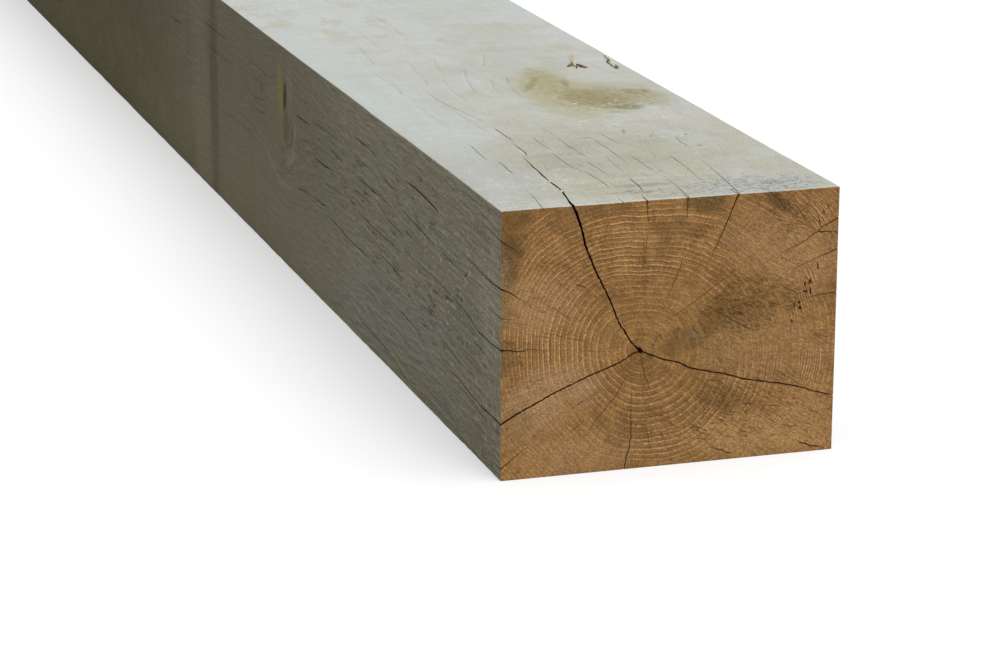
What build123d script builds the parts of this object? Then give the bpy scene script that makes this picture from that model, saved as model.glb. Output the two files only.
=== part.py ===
"""A sawn oak beam cut from the heart of the tree, lying on one of its broad faces.

The beam is one piece of timber. Its length runs along Y, its width along X and
its depth along Z. The origin is the centre of the face that it lies on. The
heart of the tree (the pith) is boxed inside the section, so drying has opened
heart shakes: radial splits that run from the pith out to the faces at each end
and die out along the beam. Shorter edge checks open the ends from the faces
inwards, and a branch knot in the left face has a drying check of its own.
All sizes are in millimetres.
"""

import os
from dataclasses import dataclass

from build123d import *

# The sawn section and its length
beam_length = 2400.0
beam_width = 225.0
beam_depth = 175.0
arris_ease = 1.0

# Every cut starts this far outside the face that it opens
overrun = 3.0

# The heart of the tree at each end: where it lies in the section, and the
# small hole that the meeting shakes leave there
near_pith_from_left = 92.0
near_pith_above_base = 78.0
far_pith_from_left = 118.0
far_pith_above_base = 88.0
pith_hole_radius = 2.2
pith_hole_tip_radius = 0.4
pith_hole_depth = 24.0

# The heart shakes. A shake's mouth is where it comes out through a face, and
# its run is how far it follows the beam before it closes. A drift is how far
# the grain carries the mouth sideways over that run.
shake_heart_gap = 1.2
split_tip_gap = 0.3
split_tip_reach = 1.5

near_top_mouth_from_left = 46.7
near_top_mouth_gap = 2.3
near_top_run = 138.0
near_top_drift = 11.5

near_left_mouth_above_base = 37.0
near_left_mouth_gap = 1.4
near_left_run = 116.0
near_left_drift = 5.0

near_right_mouth_above_base = 37.2
near_right_mouth_gap = 1.0
near_right_run = 124.0
near_right_drift = 4.0

far_top_mouth_from_left = 150.0
far_top_mouth_gap = 1.8
far_top_run = 104.0
far_top_drift = -6.0

far_left_mouth_above_base = 61.0
far_left_mouth_gap = 1.2
far_left_run = 128.0
far_left_drift = -5.0

far_base_mouth_from_left = 141.0
far_base_mouth_gap = 1.1
far_base_run = 92.0
far_base_drift = 4.0

# The line of each shake across the end, from the pith to its mouth: shares of
# the straight distance, along it and to the left of it
near_top_line_shares = [(0.13, 0.033), (0.34, 0.038), (0.55, 0.040), (0.82, 0.014)]
near_left_line_shares = [(0.14, 0.005), (0.38, -0.012), (0.62, -0.026), (0.86, -0.016)]
near_right_line_shares = [(0.07, -0.006), (0.25, -0.028), (0.54, -0.018), (0.81, 0.003)]
far_line_shares = [(0.15, 0.012), (0.38, -0.020), (0.62, -0.012), (0.85, 0.008)]

# The edge checks: wedges that open the end from a face towards the pith
edge_check_gap = 0.8
edge_check_tip_gap = 0.2
edge_check_run = 20.0

# Where each edge check opens, as shares of the width and the depth, and how
# far it reaches, as a share of the way to the pith
near_edge_check_shares = [
    (0.424, 1.0, 0.16),
    (0.544, 1.0, 0.15),
    (0.696, 1.0, 0.42),
    (1.0, 0.886, 0.28),
    (1.0, 0.767, 0.25),
    (1.0, 0.602, 0.14),
    (0.365, 0.0, 0.70),
    (0.0, 0.049, 0.21),
    (0.0, 0.490, 0.32),
    (0.0, 0.714, 0.12),
    (0.0, 0.890, 0.15),
]
far_edge_check_shares = [
    (0.21, 1.0, 0.24),
    (0.86, 1.0, 0.20),
    (1.0, 0.70, 0.30),
    (1.0, 0.26, 0.16),
    (0.27, 0.0, 0.22),
    (0.0, 0.80, 0.18),
]

# The check in the branch knot of the left face
knot_from_near_end = 557.0
knot_check_centre_below_top = 36.0
knot_check_height = 28.0
knot_check_width = 7.0
knot_check_depth = 12.0

left = -beam_width / 2
right = beam_width / 2
no_drift = Vector(0, 0)


@dataclass
class Split:
    """One radial split of an end: its line there, as (x, z) points, and its sizes."""

    heart: Vector
    mouth: Vector
    heart_gap: float
    mouth_gap: float
    run: float
    drift: Vector
    line_shares: list

    def side(self, sign, closed):
        """The points of one side of the split, from its heart to past its mouth."""
        mouth = self.mouth + self.drift if closed else self.mouth
        outward = (self.mouth - self.heart).normalized()
        heart = mouth - outward * split_tip_reach if closed else self.heart
        heart_gap = split_tip_gap if closed else self.heart_gap
        mouth_gap = split_tip_gap if closed else self.mouth_gap
        chord = mouth - heart
        square = Vector(-outward.Y, outward.X)
        points = []
        for along, across in [(0.0, 0.0), *self.line_shares, (1.0, 0.0)]:
            half_gap = (heart_gap + (mouth_gap - heart_gap) * along) / 2
            sideways = across * chord.length + sign * half_gap
            points.append(heart + chord * along + square * sideways)
        points.append(points[-1] + outward * overrun)
        return [(point.X, point.Y) for point in points]

    def outline(self, closed):
        """The split's outline: up one side and back down the other.

        A closed outline is the one at the end of the run, where the split has
        drifted with the grain and is only a nick under the surface.
        """
        return self.side(1, closed) + self.side(-1, closed)[::-1]


def heart_shake(pith, mouth, mouth_gap, run, drift, line_shares):
    """A split that is open all the way from the pith to its mouth."""
    return Split(pith, mouth, shake_heart_gap, mouth_gap, run, drift, line_shares)


def edge_checks(pith, check_shares):
    """The short splits of one end, each on a straight line towards the pith."""
    checks = []
    for width_share, depth_share, reach_share in check_shares:
        mouth = Vector(left + beam_width * width_share, beam_depth * depth_share)
        heart = mouth + (pith - mouth) * reach_share
        checks.append(
            Split(heart, mouth, edge_check_tip_gap, edge_check_gap, edge_check_run, no_drift, [])
        )
    return checks


near_pith = Vector(left + near_pith_from_left, near_pith_above_base)
far_pith = Vector(left + far_pith_from_left, far_pith_above_base)

near_splits = [
    heart_shake(
        near_pith,
        mouth=Vector(left + near_top_mouth_from_left, beam_depth),
        mouth_gap=near_top_mouth_gap,
        run=near_top_run,
        drift=Vector(near_top_drift, 0),
        line_shares=near_top_line_shares,
    ),
    heart_shake(
        near_pith,
        mouth=Vector(left, near_left_mouth_above_base),
        mouth_gap=near_left_mouth_gap,
        run=near_left_run,
        drift=Vector(0, near_left_drift),
        line_shares=near_left_line_shares,
    ),
    heart_shake(
        near_pith,
        mouth=Vector(right, near_right_mouth_above_base),
        mouth_gap=near_right_mouth_gap,
        run=near_right_run,
        drift=Vector(0, near_right_drift),
        line_shares=near_right_line_shares,
    ),
    *edge_checks(near_pith, near_edge_check_shares),
]

far_splits = [
    heart_shake(
        far_pith,
        mouth=Vector(left + far_top_mouth_from_left, beam_depth),
        mouth_gap=far_top_mouth_gap,
        run=far_top_run,
        drift=Vector(far_top_drift, 0),
        line_shares=far_line_shares,
    ),
    heart_shake(
        far_pith,
        mouth=Vector(left, far_left_mouth_above_base),
        mouth_gap=far_left_mouth_gap,
        run=far_left_run,
        drift=Vector(0, far_left_drift),
        line_shares=far_line_shares,
    ),
    heart_shake(
        far_pith,
        mouth=Vector(left + far_base_mouth_from_left, 0),
        mouth_gap=far_base_mouth_gap,
        run=far_base_run,
        drift=Vector(far_base_drift, 0),
        line_shares=far_line_shares,
    ),
    *edge_checks(far_pith, far_edge_check_shares),
]

# Each end of the beam: its offset from the XZ plane, which faces -Y, the way
# into the wood as a sign of that offset, its pith and its splits
ends = [
    (beam_length / 2, -1, near_pith, near_splits),
    (-beam_length / 2, 1, far_pith, far_splits),
]

with BuildPart() as oak_beam:
    # The sawn baulk, with its long arrises just eased
    with BuildSketch(Plane.XZ.offset(beam_length / 2)):
        with Locations((0, beam_depth / 2)):
            Rectangle(beam_width, beam_depth)
    extrude(amount=-beam_length)
    chamfer(oak_beam.edges().filter_by(Axis.Y), length=arris_ease)

    for end, inward, pith, splits in ends:
        # The splits, each tapering from its full outline just outside the end
        # face to a nick in the long face at the end of its run
        for split in splits:
            with BuildSketch(Plane.XZ.offset(end - inward * overrun)):
                with BuildLine():
                    Polyline(*split.outline(closed=False), close=True)
                make_face()
            with BuildSketch(Plane.XZ.offset(end + inward * split.run)):
                with BuildLine():
                    Polyline(*split.outline(closed=True), close=True)
                make_face()
            loft(ruled=True, mode=Mode.SUBTRACT)

        # The open heart where the shakes meet
        with BuildSketch(Plane.XZ.offset(end - inward * overrun)):
            with Locations((pith.X, pith.Y)):
                Circle(pith_hole_radius)
        with BuildSketch(Plane.XZ.offset(end + inward * pith_hole_depth)):
            with Locations((pith.X, pith.Y)):
                Circle(pith_hole_tip_radius)
        loft(mode=Mode.SUBTRACT)

    # The knot's drying check: a pointed slot across the grain of the left face
    knot_plane = Plane(
        origin=(left - overrun, knot_from_near_end - beam_length / 2, 0),
        x_dir=(0, 0, 1),
        z_dir=(1, 0, 0),
    )
    check_centre = beam_depth - knot_check_centre_below_top
    check_low = (check_centre - knot_check_height / 2, 0)
    check_high = (check_centre + knot_check_height / 2, 0)
    with BuildSketch(knot_plane):
        with BuildLine():
            ThreePointArc(check_low, (check_centre, knot_check_width / 2), check_high)
            ThreePointArc(check_high, (check_centre, -knot_check_width / 2), check_low)
        make_face()
    extrude(amount=overrun + knot_check_depth, mode=Mode.SUBTRACT)

oak_beam.part.label = "oak_beam"

os.makedirs("parts", exist_ok=True)
export_step(oak_beam.part, "parts/oak_beam.step")
print("volume mm3", round(oak_beam.part.volume))
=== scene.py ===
"""A weathered oak beam on a pale floor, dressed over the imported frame.

The beam is one mesh: a sawn baulk whose arrises are worn and whose faces are
slightly uneven, with heart shakes, checks and a knot's drying slot cut out of
it. Its finishes are worked out from the wood itself: growth rings about a
wandering pith, rays, saw marks, knots that push the grain aside, and
weathering. Places on a long face are given as millimetres along the beam from
its near end, and across the face from the left or from the top. Places on an
end are millimetres from the left and from the top.
"""

import logging
import math
from dataclasses import dataclass
from enum import Enum
from typing import Mapping, Optional, Sequence, Union

import bpy
import numpy as np
from mathutils import Matrix, Vector


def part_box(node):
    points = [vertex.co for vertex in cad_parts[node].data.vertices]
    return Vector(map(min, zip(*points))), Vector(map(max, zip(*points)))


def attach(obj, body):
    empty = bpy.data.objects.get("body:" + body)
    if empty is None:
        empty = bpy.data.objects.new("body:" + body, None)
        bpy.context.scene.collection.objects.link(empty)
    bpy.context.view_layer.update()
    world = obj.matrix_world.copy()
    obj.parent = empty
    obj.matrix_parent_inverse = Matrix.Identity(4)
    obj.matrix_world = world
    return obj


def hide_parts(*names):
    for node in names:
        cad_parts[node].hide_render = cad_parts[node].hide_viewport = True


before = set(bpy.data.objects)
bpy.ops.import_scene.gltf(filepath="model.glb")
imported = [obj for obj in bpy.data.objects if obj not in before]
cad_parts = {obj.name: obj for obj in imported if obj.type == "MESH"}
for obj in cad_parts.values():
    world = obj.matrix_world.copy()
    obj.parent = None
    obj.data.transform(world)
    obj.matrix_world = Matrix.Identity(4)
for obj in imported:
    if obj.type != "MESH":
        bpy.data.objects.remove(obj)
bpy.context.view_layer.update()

MM = 0.001
NODE = "oak_beam"

Rgb = tuple[float, float, float]
Place = tuple[float, float]
MeshData = tuple[np.ndarray, list]

log = logging.getLogger("oak_beam")


class Face(Enum):
    """A side of the beam, as the camera sees it."""

    TOP = 0
    LEFT = 1
    RIGHT = 2
    UNDER = 3
    NEAR = 4
    FAR = 5

    @property
    def lies_flat(self) -> bool:
        """Whether the face is a broad one that looks up or down."""
        return self in (Face.TOP, Face.UNDER)

    @property
    def is_end(self) -> bool:
        """Whether the face is a crosscut end."""
        return self in (Face.NEAR, Face.FAR)


class Wall(Enum):
    """What the inside of a split looks like: its wood, darkened with painted shade."""

    HEART = "heart_shake_wall"
    END = "end_check_wall"
    FACE = "face_check_wall"


@dataclass(frozen=True)
class Baulk:
    """The sawn section and length, in millimetres."""

    width: float
    depth: float
    length: float

    @classmethod
    def from_frame(cls) -> "Baulk":
        """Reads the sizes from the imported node.

        Returns:
            The baulk.
        """
        low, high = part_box(NODE)
        size = (Vector(high) - Vector(low)) / MM
        return cls(size.x, size.z, size.y)

    def place(self, face: Face, first: np.ndarray, second: np.ndarray, height: np.ndarray) -> np.ndarray:
        """Turns places on a face into points of the frame.

        Args:
            face: The face that the places are on.
            first: Along the beam on a long face, or from the left on an end.
            second: Across a long face, or from the top on an end.
            height: How far each point stands out of the face.

        Returns:
            One row of x, y and z in metres for each place.
        """
        if face.is_end:
            side = 1 if face is Face.FAR else -1
            columns = (first - self.width / 2, side * (self.length / 2 + height), self.depth - second)
        elif face.lies_flat:
            level = self.depth + height if face is Face.TOP else -height
            columns = (second - self.width / 2, first - self.length / 2, level)
        else:
            side = 1 if face is Face.RIGHT else -1
            columns = (side * (self.width / 2 + height), first - self.length / 2, self.depth - second)
        return np.stack(np.broadcast_arrays(*columns), -1) * MM


class Ripple:
    """A smooth, repeatable unevenness over two directions, between about -1 and 1."""

    def __init__(self, seed: int, first_wave: float, second_wave: float, terms: int = 6) -> None:
        """Picks the waves.

        Args:
            seed: Which ripple it is.
            first_wave: The shortest wave along the first direction.
            second_wave: The shortest wave along the second direction.
            terms: How many waves are added up.
        """
        chance = np.random.default_rng(seed)
        turns = chance.uniform(0.25, 1.0, (terms, 2)) * chance.choice([-1, 1], (terms, 2))
        self.pitch = 2 * math.pi * turns / np.array([first_wave, second_wave])
        self.start = chance.uniform(0, 2 * math.pi, terms)

    def at(self, first: np.ndarray, second: np.ndarray) -> np.ndarray:
        """Finds the ripple's height.

        Args:
            first: Each place along the first direction.
            second: Each place along the second.

        Returns:
            The height at each place.
        """
        angle = np.asarray(first)[..., None] * self.pitch[:, 0]
        angle = angle + np.asarray(second)[..., None] * self.pitch[:, 1] + self.start
        return np.sin(angle).sum(-1) / math.sqrt(len(self.start) * 2)


def walked(line: Sequence[Place], step: float) -> tuple[np.ndarray, np.ndarray]:
    """Spaces points evenly along a line.

    Args:
        line: The line's corners.
        step: The distance wanted between points.

    Returns:
        The points, and each one's share of the way along.
    """
    corners = np.array(line, float)
    far = np.concatenate([[0], np.cumsum(np.linalg.norm(np.diff(corners, axis=0), axis=1))])
    share = np.linspace(0, 1, max(4, round(far[-1] / step)) + 1)
    points = np.stack([np.interp(share * far[-1], far, corners[:, i]) for i in (0, 1)], -1)
    return points, share


def sideways(points: np.ndarray) -> np.ndarray:
    """Finds the direction square to a line.

    Args:
        points: The line's points.

    Returns:
        The unit direction square to the line at each point.
    """
    ahead = np.gradient(points, axis=0)
    ahead /= np.linalg.norm(ahead, axis=1, keepdims=True)
    return np.stack([-ahead[:, 1], ahead[:, 0]], -1)


def smooth_share(value: np.ndarray) -> np.ndarray:
    """Eases a share from 0 to 1, held at both ends."""
    held = np.clip(value, 0, 1)
    return held * held * (3 - 2 * held)


def tube_of_rings(rings: np.ndarray) -> MeshData:
    """Joins rings of points into one closed mesh with a face on each end.

    Args:
        rings: Points by ring, then by place round the ring, then x, y and z.

    Returns:
        The vertices and the faces.
    """
    count, around = rings.shape[:2]
    faces = []
    for ring in range(count - 1):
        start = ring * around
        for i in range(around):
            j = (i + 1) % around
            faces.append((start + i, start + j, start + around + j, start + around + i))
    faces.append(tuple(reversed(range(around))))
    faces.append(tuple(range((count - 1) * around, count * around)))
    return rings.reshape(-1, 3), faces


def joined(meshes: Sequence[MeshData]) -> MeshData:
    """Puts several meshes together.

    Args:
        meshes: The meshes.

    Returns:
        One mesh of all their vertices and faces.
    """
    points, faces, start = [], [], 0
    for vertices, polygons in meshes:
        points.append(vertices)
        faces += [tuple(start + i for i in polygon) for polygon in polygons]
        start += len(vertices)
    return np.concatenate(points), faces


def facing_out(mesh: MeshData) -> MeshData:
    """Turns a closed mesh's faces round if they look inwards.

    Args:
        mesh: The mesh.

    Returns:
        The mesh with its faces looking out.
    """
    points, faces = mesh
    middle = points.mean(0)
    volume = 0.0
    for polygon in faces:
        corners = points[list(polygon)] - middle
        for i in range(1, len(corners) - 1):
            volume += np.dot(corners[0], np.cross(corners[i], corners[i + 1]))
    return (points, [polygon[::-1] for polygon in faces]) if volume < 0 else mesh


def mesh_object(name: str, mesh: MeshData, materials: Sequence[bpy.types.Material] = ()) -> bpy.types.Object:
    """Makes a Blender object and puts it in the scene.

    Args:
        name: The object's name.
        mesh: Its vertices, in metres, and faces.
        materials: The materials of its slots.

    Returns:
        The object.
    """
    data = bpy.data.meshes.new(name)
    data.from_pydata(mesh[0].tolist(), [], mesh[1])
    for material in materials:
        data.materials.append(material)
    data.update()
    made = bpy.data.objects.new(name, data)
    bpy.context.scene.collection.objects.link(made)
    return made


Operand = Union["Field", float]
Tone = Union["Field", Rgb]


class Field:
    """An output of a shader node, which takes part in Python sums."""

    def __init__(self, graph: "Graph", socket: bpy.types.NodeSocket) -> None:
        """Keeps the graph that the socket is in."""
        self.graph = graph
        self.socket = socket

    def _sum(self, operation: str, first: Operand, second: Operand) -> "Field":
        """Adds one Math node of two operands."""
        return self.graph.node("ShaderNodeMath", {"operation": operation}, {0: first, 1: second})

    def __add__(self, other: Operand) -> "Field":
        """This and another."""
        return self._sum("ADD", self, other)

    def __radd__(self, other: Operand) -> "Field":
        """Another and this."""
        return self._sum("ADD", other, self)

    def __sub__(self, other: Operand) -> "Field":
        """This less another."""
        return self._sum("SUBTRACT", self, other)

    def __rsub__(self, other: Operand) -> "Field":
        """Another less this."""
        return self._sum("SUBTRACT", other, self)

    def __mul__(self, other: Operand) -> "Field":
        """This times another."""
        return self._sum("MULTIPLY", self, other)

    def __rmul__(self, other: Operand) -> "Field":
        """Another times this."""
        return self._sum("MULTIPLY", other, self)

    def __truediv__(self, other: Operand) -> "Field":
        """This over another."""
        return self._sum("DIVIDE", self, other)

    def __rtruediv__(self, other: Operand) -> "Field":
        """Another over this."""
        return self._sum("DIVIDE", other, self)

    def __pow__(self, other: Operand) -> "Field":
        """This to the power of another."""
        return self._sum("POWER", self, other)

    def __neg__(self) -> "Field":
        """This with its sign turned."""
        return self._sum("MULTIPLY", self, -1.0)


class Graph:
    """The node tree of one material or world, with the few words that a finish is written in."""

    def __init__(self, name: str, world: Optional[bpy.types.World] = None) -> None:
        """Starts an empty tree.

        Args:
            name: The name of the new material.
            world: A world whose tree it is to be instead.
        """
        self.material = None if world else bpy.data.materials.new(name)
        owner = world or self.material
        owner.use_nodes = True
        self.tree = owner.node_tree
        self.tree.nodes.clear()

    def node(
        self,
        kind: str,
        settings: Optional[Mapping[str, object]] = None,
        inputs: Optional[Mapping[Union[int, str], object]] = None,
        output: Union[int, str] = 0,
    ) -> Field:
        """Adds a node.

        Args:
            kind: The node's type.
            settings: Its properties, set first. Stops fills a ramp, and curve a float curve.
            inputs: A value or a field for each of its sockets.
            output: Which of its outputs to give.

        Returns:
            That output.
        """
        made = self.tree.nodes.new(kind)
        for key, value in (settings or {}).items():
            if key == "stops":
                self._fill_ramp(made.color_ramp, value)
            elif key == "curve":
                self._fill_curve(made.mapping, value)
            else:
                setattr(made, key, value)
        for key, value in (inputs or {}).items():
            if isinstance(value, Field):
                self.tree.links.new(value.socket, made.inputs[key])
            else:
                made.inputs[key].default_value = value
        return Field(self, made.outputs[output])

    @staticmethod
    def _fill_ramp(ramp: bpy.types.ColorRamp, stops: Sequence[tuple[float, Rgb]]) -> None:
        """Gives a ramp its stops.

        Args:
            ramp: The ramp.
            stops: The place and the colour of each stop.
        """
        while len(ramp.elements) < len(stops):
            ramp.elements.new(0.5)
        for element, (at, colour) in zip(ramp.elements, stops):
            element.position = at
            element.color = (*colour, 1.0)

    @staticmethod
    def _fill_curve(mapping: bpy.types.CurveMapping, points: Sequence[Place]) -> None:
        """Gives a float curve its points.

        Args:
            mapping: The curve's mapping.
            points: The points that it runs through.
        """
        curve = mapping.curves[0]
        while len(curve.points) < len(points):
            curve.points.new(0.5, 0.5)
        for point, place in zip(curve.points, points):
            point.location = place
        mapping.update()

    def maths(self, operation: str, first: Operand, second: Operand = 0.0) -> Field:
        """A Math node that has no operator of its own."""
        return self.node("ShaderNodeMath", {"operation": operation}, {0: first, 1: second})

    def vector(self, x: Operand, y: Operand, z: Operand = 0.0) -> Field:
        """Three values as one vector."""
        return self.node("ShaderNodeCombineXYZ", {}, {0: x, 1: y, 2: z})

    def place(self) -> tuple[Field, Field, Field]:
        """Finds the point being shaded.

        Returns:
            Its x, y and z in millimetres of the frame.
        """
        spot = self.node("ShaderNodeTexCoord", {}, {}, "Object")
        spot = self.node("ShaderNodeVectorMath", {"operation": "SCALE"}, {0: spot, 3: 1 / MM})
        split = self.node("ShaderNodeSeparateXYZ", {}, {0: spot})
        outputs = split.socket.node.outputs
        return Field(self, outputs[0]), Field(self, outputs[1]), Field(self, outputs[2])

    def smooth(self, low: float, high: float, value: Field) -> Field:
        """Eases from 0 at one value to 1 at a higher one."""
        ease = {"interpolation_type": "SMOOTHSTEP"}
        return self.node("ShaderNodeMapRange", ease, {0: value, 1: low, 2: high, 3: 0.0, 4: 1.0})

    def noise(self, where: Field, detail: float = 2.0, rough: float = 0.5, scale: float = 1.0) -> Field:
        """Cloudy noise between 0 and 1, about 0.5."""
        sockets = {"Vector": where, "Scale": scale, "Detail": detail, "Roughness": rough}
        return self.node("ShaderNodeTexNoise", {"noise_dimensions": "3D"}, sockets)

    def mix(self, share: Operand, first: Tone, second: Tone) -> Field:
        """Mixes two colours.

        Args:
            share: How much of the second there is.
            first: A colour or a field of colour.
            second: The same.

        Returns:
            The mixed colour.
        """
        colours = [c if isinstance(c, Field) else (*c, 1.0) for c in (first, second)]
        settings = {"data_type": "RGBA", "clamp_factor": True}
        return self.node("ShaderNodeMix", settings, {0: share, 6: colours[0], 7: colours[1]}, 2)

    def shade(self, colour: Field, amount: Field) -> Field:
        """Makes a colour lighter or darker by a factor."""
        return self.node("ShaderNodeVectorMath", {"operation": "SCALE"}, {0: colour, 3: amount})

    def finish(self, colour: Field, rough: Operand, height: Field, relief: float) -> bpy.types.Material:
        """Ends the material in a matt surface.

        Args:
            colour: Its colour.
            rough: Its roughness.
            height: Its relief, in shares of the relief's depth.
            relief: The depth of a height of 1, in millimetres.

        Returns:
            The material.
        """
        bump = {"Height": height, "Strength": 1.0, "Distance": relief * MM}
        normal = self.node("ShaderNodeBump", {}, bump)
        sockets = {
            "Base Color": colour,
            "Roughness": rough,
            "Normal": normal,
            "Specular IOR Level": 0.25,
        }
        surface = self.node("ShaderNodeBsdfPrincipled", {}, sockets)
        self.node_output(surface)
        return self.material

    def node_output(self, surface: Field, kind: str = "ShaderNodeOutputMaterial") -> None:
        """Sends a shader to the tree's output."""
        end = self.tree.nodes.new(kind)
        self.tree.links.new(surface.socket, end.inputs["Surface"])


@dataclass(frozen=True)
class Grain:
    """Noise drawn out over a face: its scale along two directions, its seed, its detail and its roughness."""

    scales: Place
    seed: float
    detail: float = 3.0
    rough: float = 0.6

    def over(self, graph: Graph, first: Field, second: Field, seed: float = 0.0) -> Field:
        """The noise at a place, for a finish with a seed of its own."""
        where = graph.vector(first * self.scales[0], second * self.scales[1], self.seed + seed)
        return graph.noise(where, self.detail, self.rough)


@dataclass(frozen=True)
class Zone:
    """A soft-edged oval region of a face."""

    centre: Place
    reach: Place
    strength: float = 1.0
    tilt: float = 0.0
    ragged: float = 1.0

    def mask(self, graph: Graph, first: Field, second: Field, fray: Field) -> Field:
        """How much of the zone there is at a place.

        Args:
            graph: The material's graph.
            first: The face's first direction.
            second: The face's second direction.
            fray: Noise that frays the zone's edge.

        Returns:
            A share from 0 to the zone's strength.
        """
        cos, sin = math.cos(math.radians(self.tilt)), math.sin(math.radians(self.tilt))
        a, b = first - self.centre[0], second - self.centre[1]
        along = (a * cos + b * sin) / self.reach[0]
        across = (b * cos - a * sin) / self.reach[1]
        far = along * along + across * across + (fray - 0.5) * (self.ragged * 3)
        return (1 - graph.smooth(0.1, 1.5, far)) * self.strength


@dataclass(frozen=True)
class Stain(Zone):
    """A zone with a tone of its own, which the surface's tooth may break up."""

    tone: Rgb = (0.2, 0.12, 0.05)
    broken: float = 0.0


def stained(
    graph: Graph,
    colour: Field,
    stains: Sequence[Stain],
    where: tuple[Field, Field],
    fray: Field,
    tooth: Field,
) -> Field:
    """Lays stains over a colour.

    Args:
        graph: The material's graph.
        colour: The colour under them.
        stains: The stains, the lowest first.
        where: The place on the face.
        fray: Noise that frays their edges.
        tooth: A share, up to 1 where the surface takes a stain.

    Returns:
        The stained colour.
    """
    for stain in stains:
        mask = stain.mask(graph, *where, fray)
        if stain.broken:
            mask = mask * (tooth * stain.broken + (1 - stain.broken))
        colour = graph.mix(mask, colour, stain.tone)
    return colour


def gathered(graph: Graph, zones: Sequence[Zone], first: Field, second: Field, fray: Field) -> Operand:
    """Adds up what several zones give at a place.

    Args:
        graph: The material's graph.
        zones: The zones.
        first: The face's first direction.
        second: The face's second direction.
        fray: Noise that frays the zones' edges.

    Returns:
        The sum of their strengths there.
    """
    total: Operand = 0.0
    for zone in zones:
        total = zone.mask(graph, first, second, fray) + total
    return total


@dataclass(frozen=True)
class Knot:
    """A branch that the face cuts: the grain flows round it."""

    centre: Place
    reach: Place
    push: float = 1.0

    def shift(self, along: Field, across: Field) -> Field:
        """Finds how far the grain has been pushed aside.

        Args:
            along: The place along the beam.
            across: The place across the face.

        Returns:
            The shift there, in millimetres.
        """
        a = (along - self.centre[0]) / self.reach[0]
        b = (across - self.centre[1]) / self.reach[1]
        return (across - self.centre[1]) * self.push / (a * a + b * b + 0.45)


@dataclass(frozen=True)
class Heartwood:
    """The tree's growth: where the pith runs, and how many rings lie within a radius."""

    near_pith: Place
    far_pith: Place
    length: float
    depth: float
    growth_reach: float = 160.0
    growth_rings: float = 46.0
    growth_shares: tuple[Place, ...] = (
        (0.0, 0.0), (0.25, 0.197), (0.375, 0.31), (0.475, 0.415), (1.0, 1.0),
    )
    far_growth: float = 65.0

    def offsets(self, graph: Graph, from_left: Field, along: Field, height: Field) -> tuple[Field, Field]:
        """Measures a place from the pith.

        Args:
            graph: The material's graph.
            from_left: How far the place is from the left face.
            along: How far it is from the near end.
            height: How far it is above the underside.

        Returns:
            How far it lies to the right of the pith, and above it.
        """
        share = along / self.length
        pith_left = share * (self.far_pith[0] - self.near_pith[0]) + self.near_pith[0]
        pith_top = share * (self.far_pith[1] - self.near_pith[1]) + self.near_pith[1]
        wander = graph.vector(from_left * 0.02, along * 0.0035, height * 0.02)
        sway = graph.noise(wander, 3.0) - 0.5
        lift = graph.noise(wander, 3.0, scale=1.31) - 0.5
        right = from_left - pith_left
        above = height - (self.depth - pith_top)
        # The heart itself stays where it is
        away = graph.smooth(2.0, 60.0, graph.maths("SQRT", right * right + above * above))
        return right + sway * away * 10, above + lift * away * 9

    def rings(self, graph: Graph, right: Field, above: Field) -> tuple[Field, Field]:
        """Counts the rings within a place.

        Args:
            graph: The material's graph.
            right: How far the place is to the right of the pith.
            above: How far it is above the pith.

        Returns:
            The number of rings, and the radius.
        """
        radius = graph.maths("SQRT", right * right + above * above + 0.01)
        cos, sin = right / radius, above / radius
        # The rings are flattened above the pith, and fuller to the lower right
        flat = graph.maths("MAXIMUM", sin, 0.0) ** 6
        stretch = 1.03 - cos * sin * 0.10 + (cos * 0.94 - sin * 0.34) * 0.06 - flat * 0.11
        # Further out, the tree grew fastest to the upper right
        beyond = graph.maths("MAXIMUM", radius - self.far_growth, 0.0)
        share = (radius - beyond * (cos * 0.82 + sin * 0.57) * 0.16) / stretch / self.growth_reach
        count = graph.node("ShaderNodeFloatCurve", {"curve": self.growth_shares}, {0: 1.0, 1: share})
        count = count * self.growth_rings
        # Good years and lean ones
        years = graph.noise(graph.vector(count * 0.42, 4.4, 8.8), 2.0, 0.6)
        return count + (years - 0.5) * 1.5, radius


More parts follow.
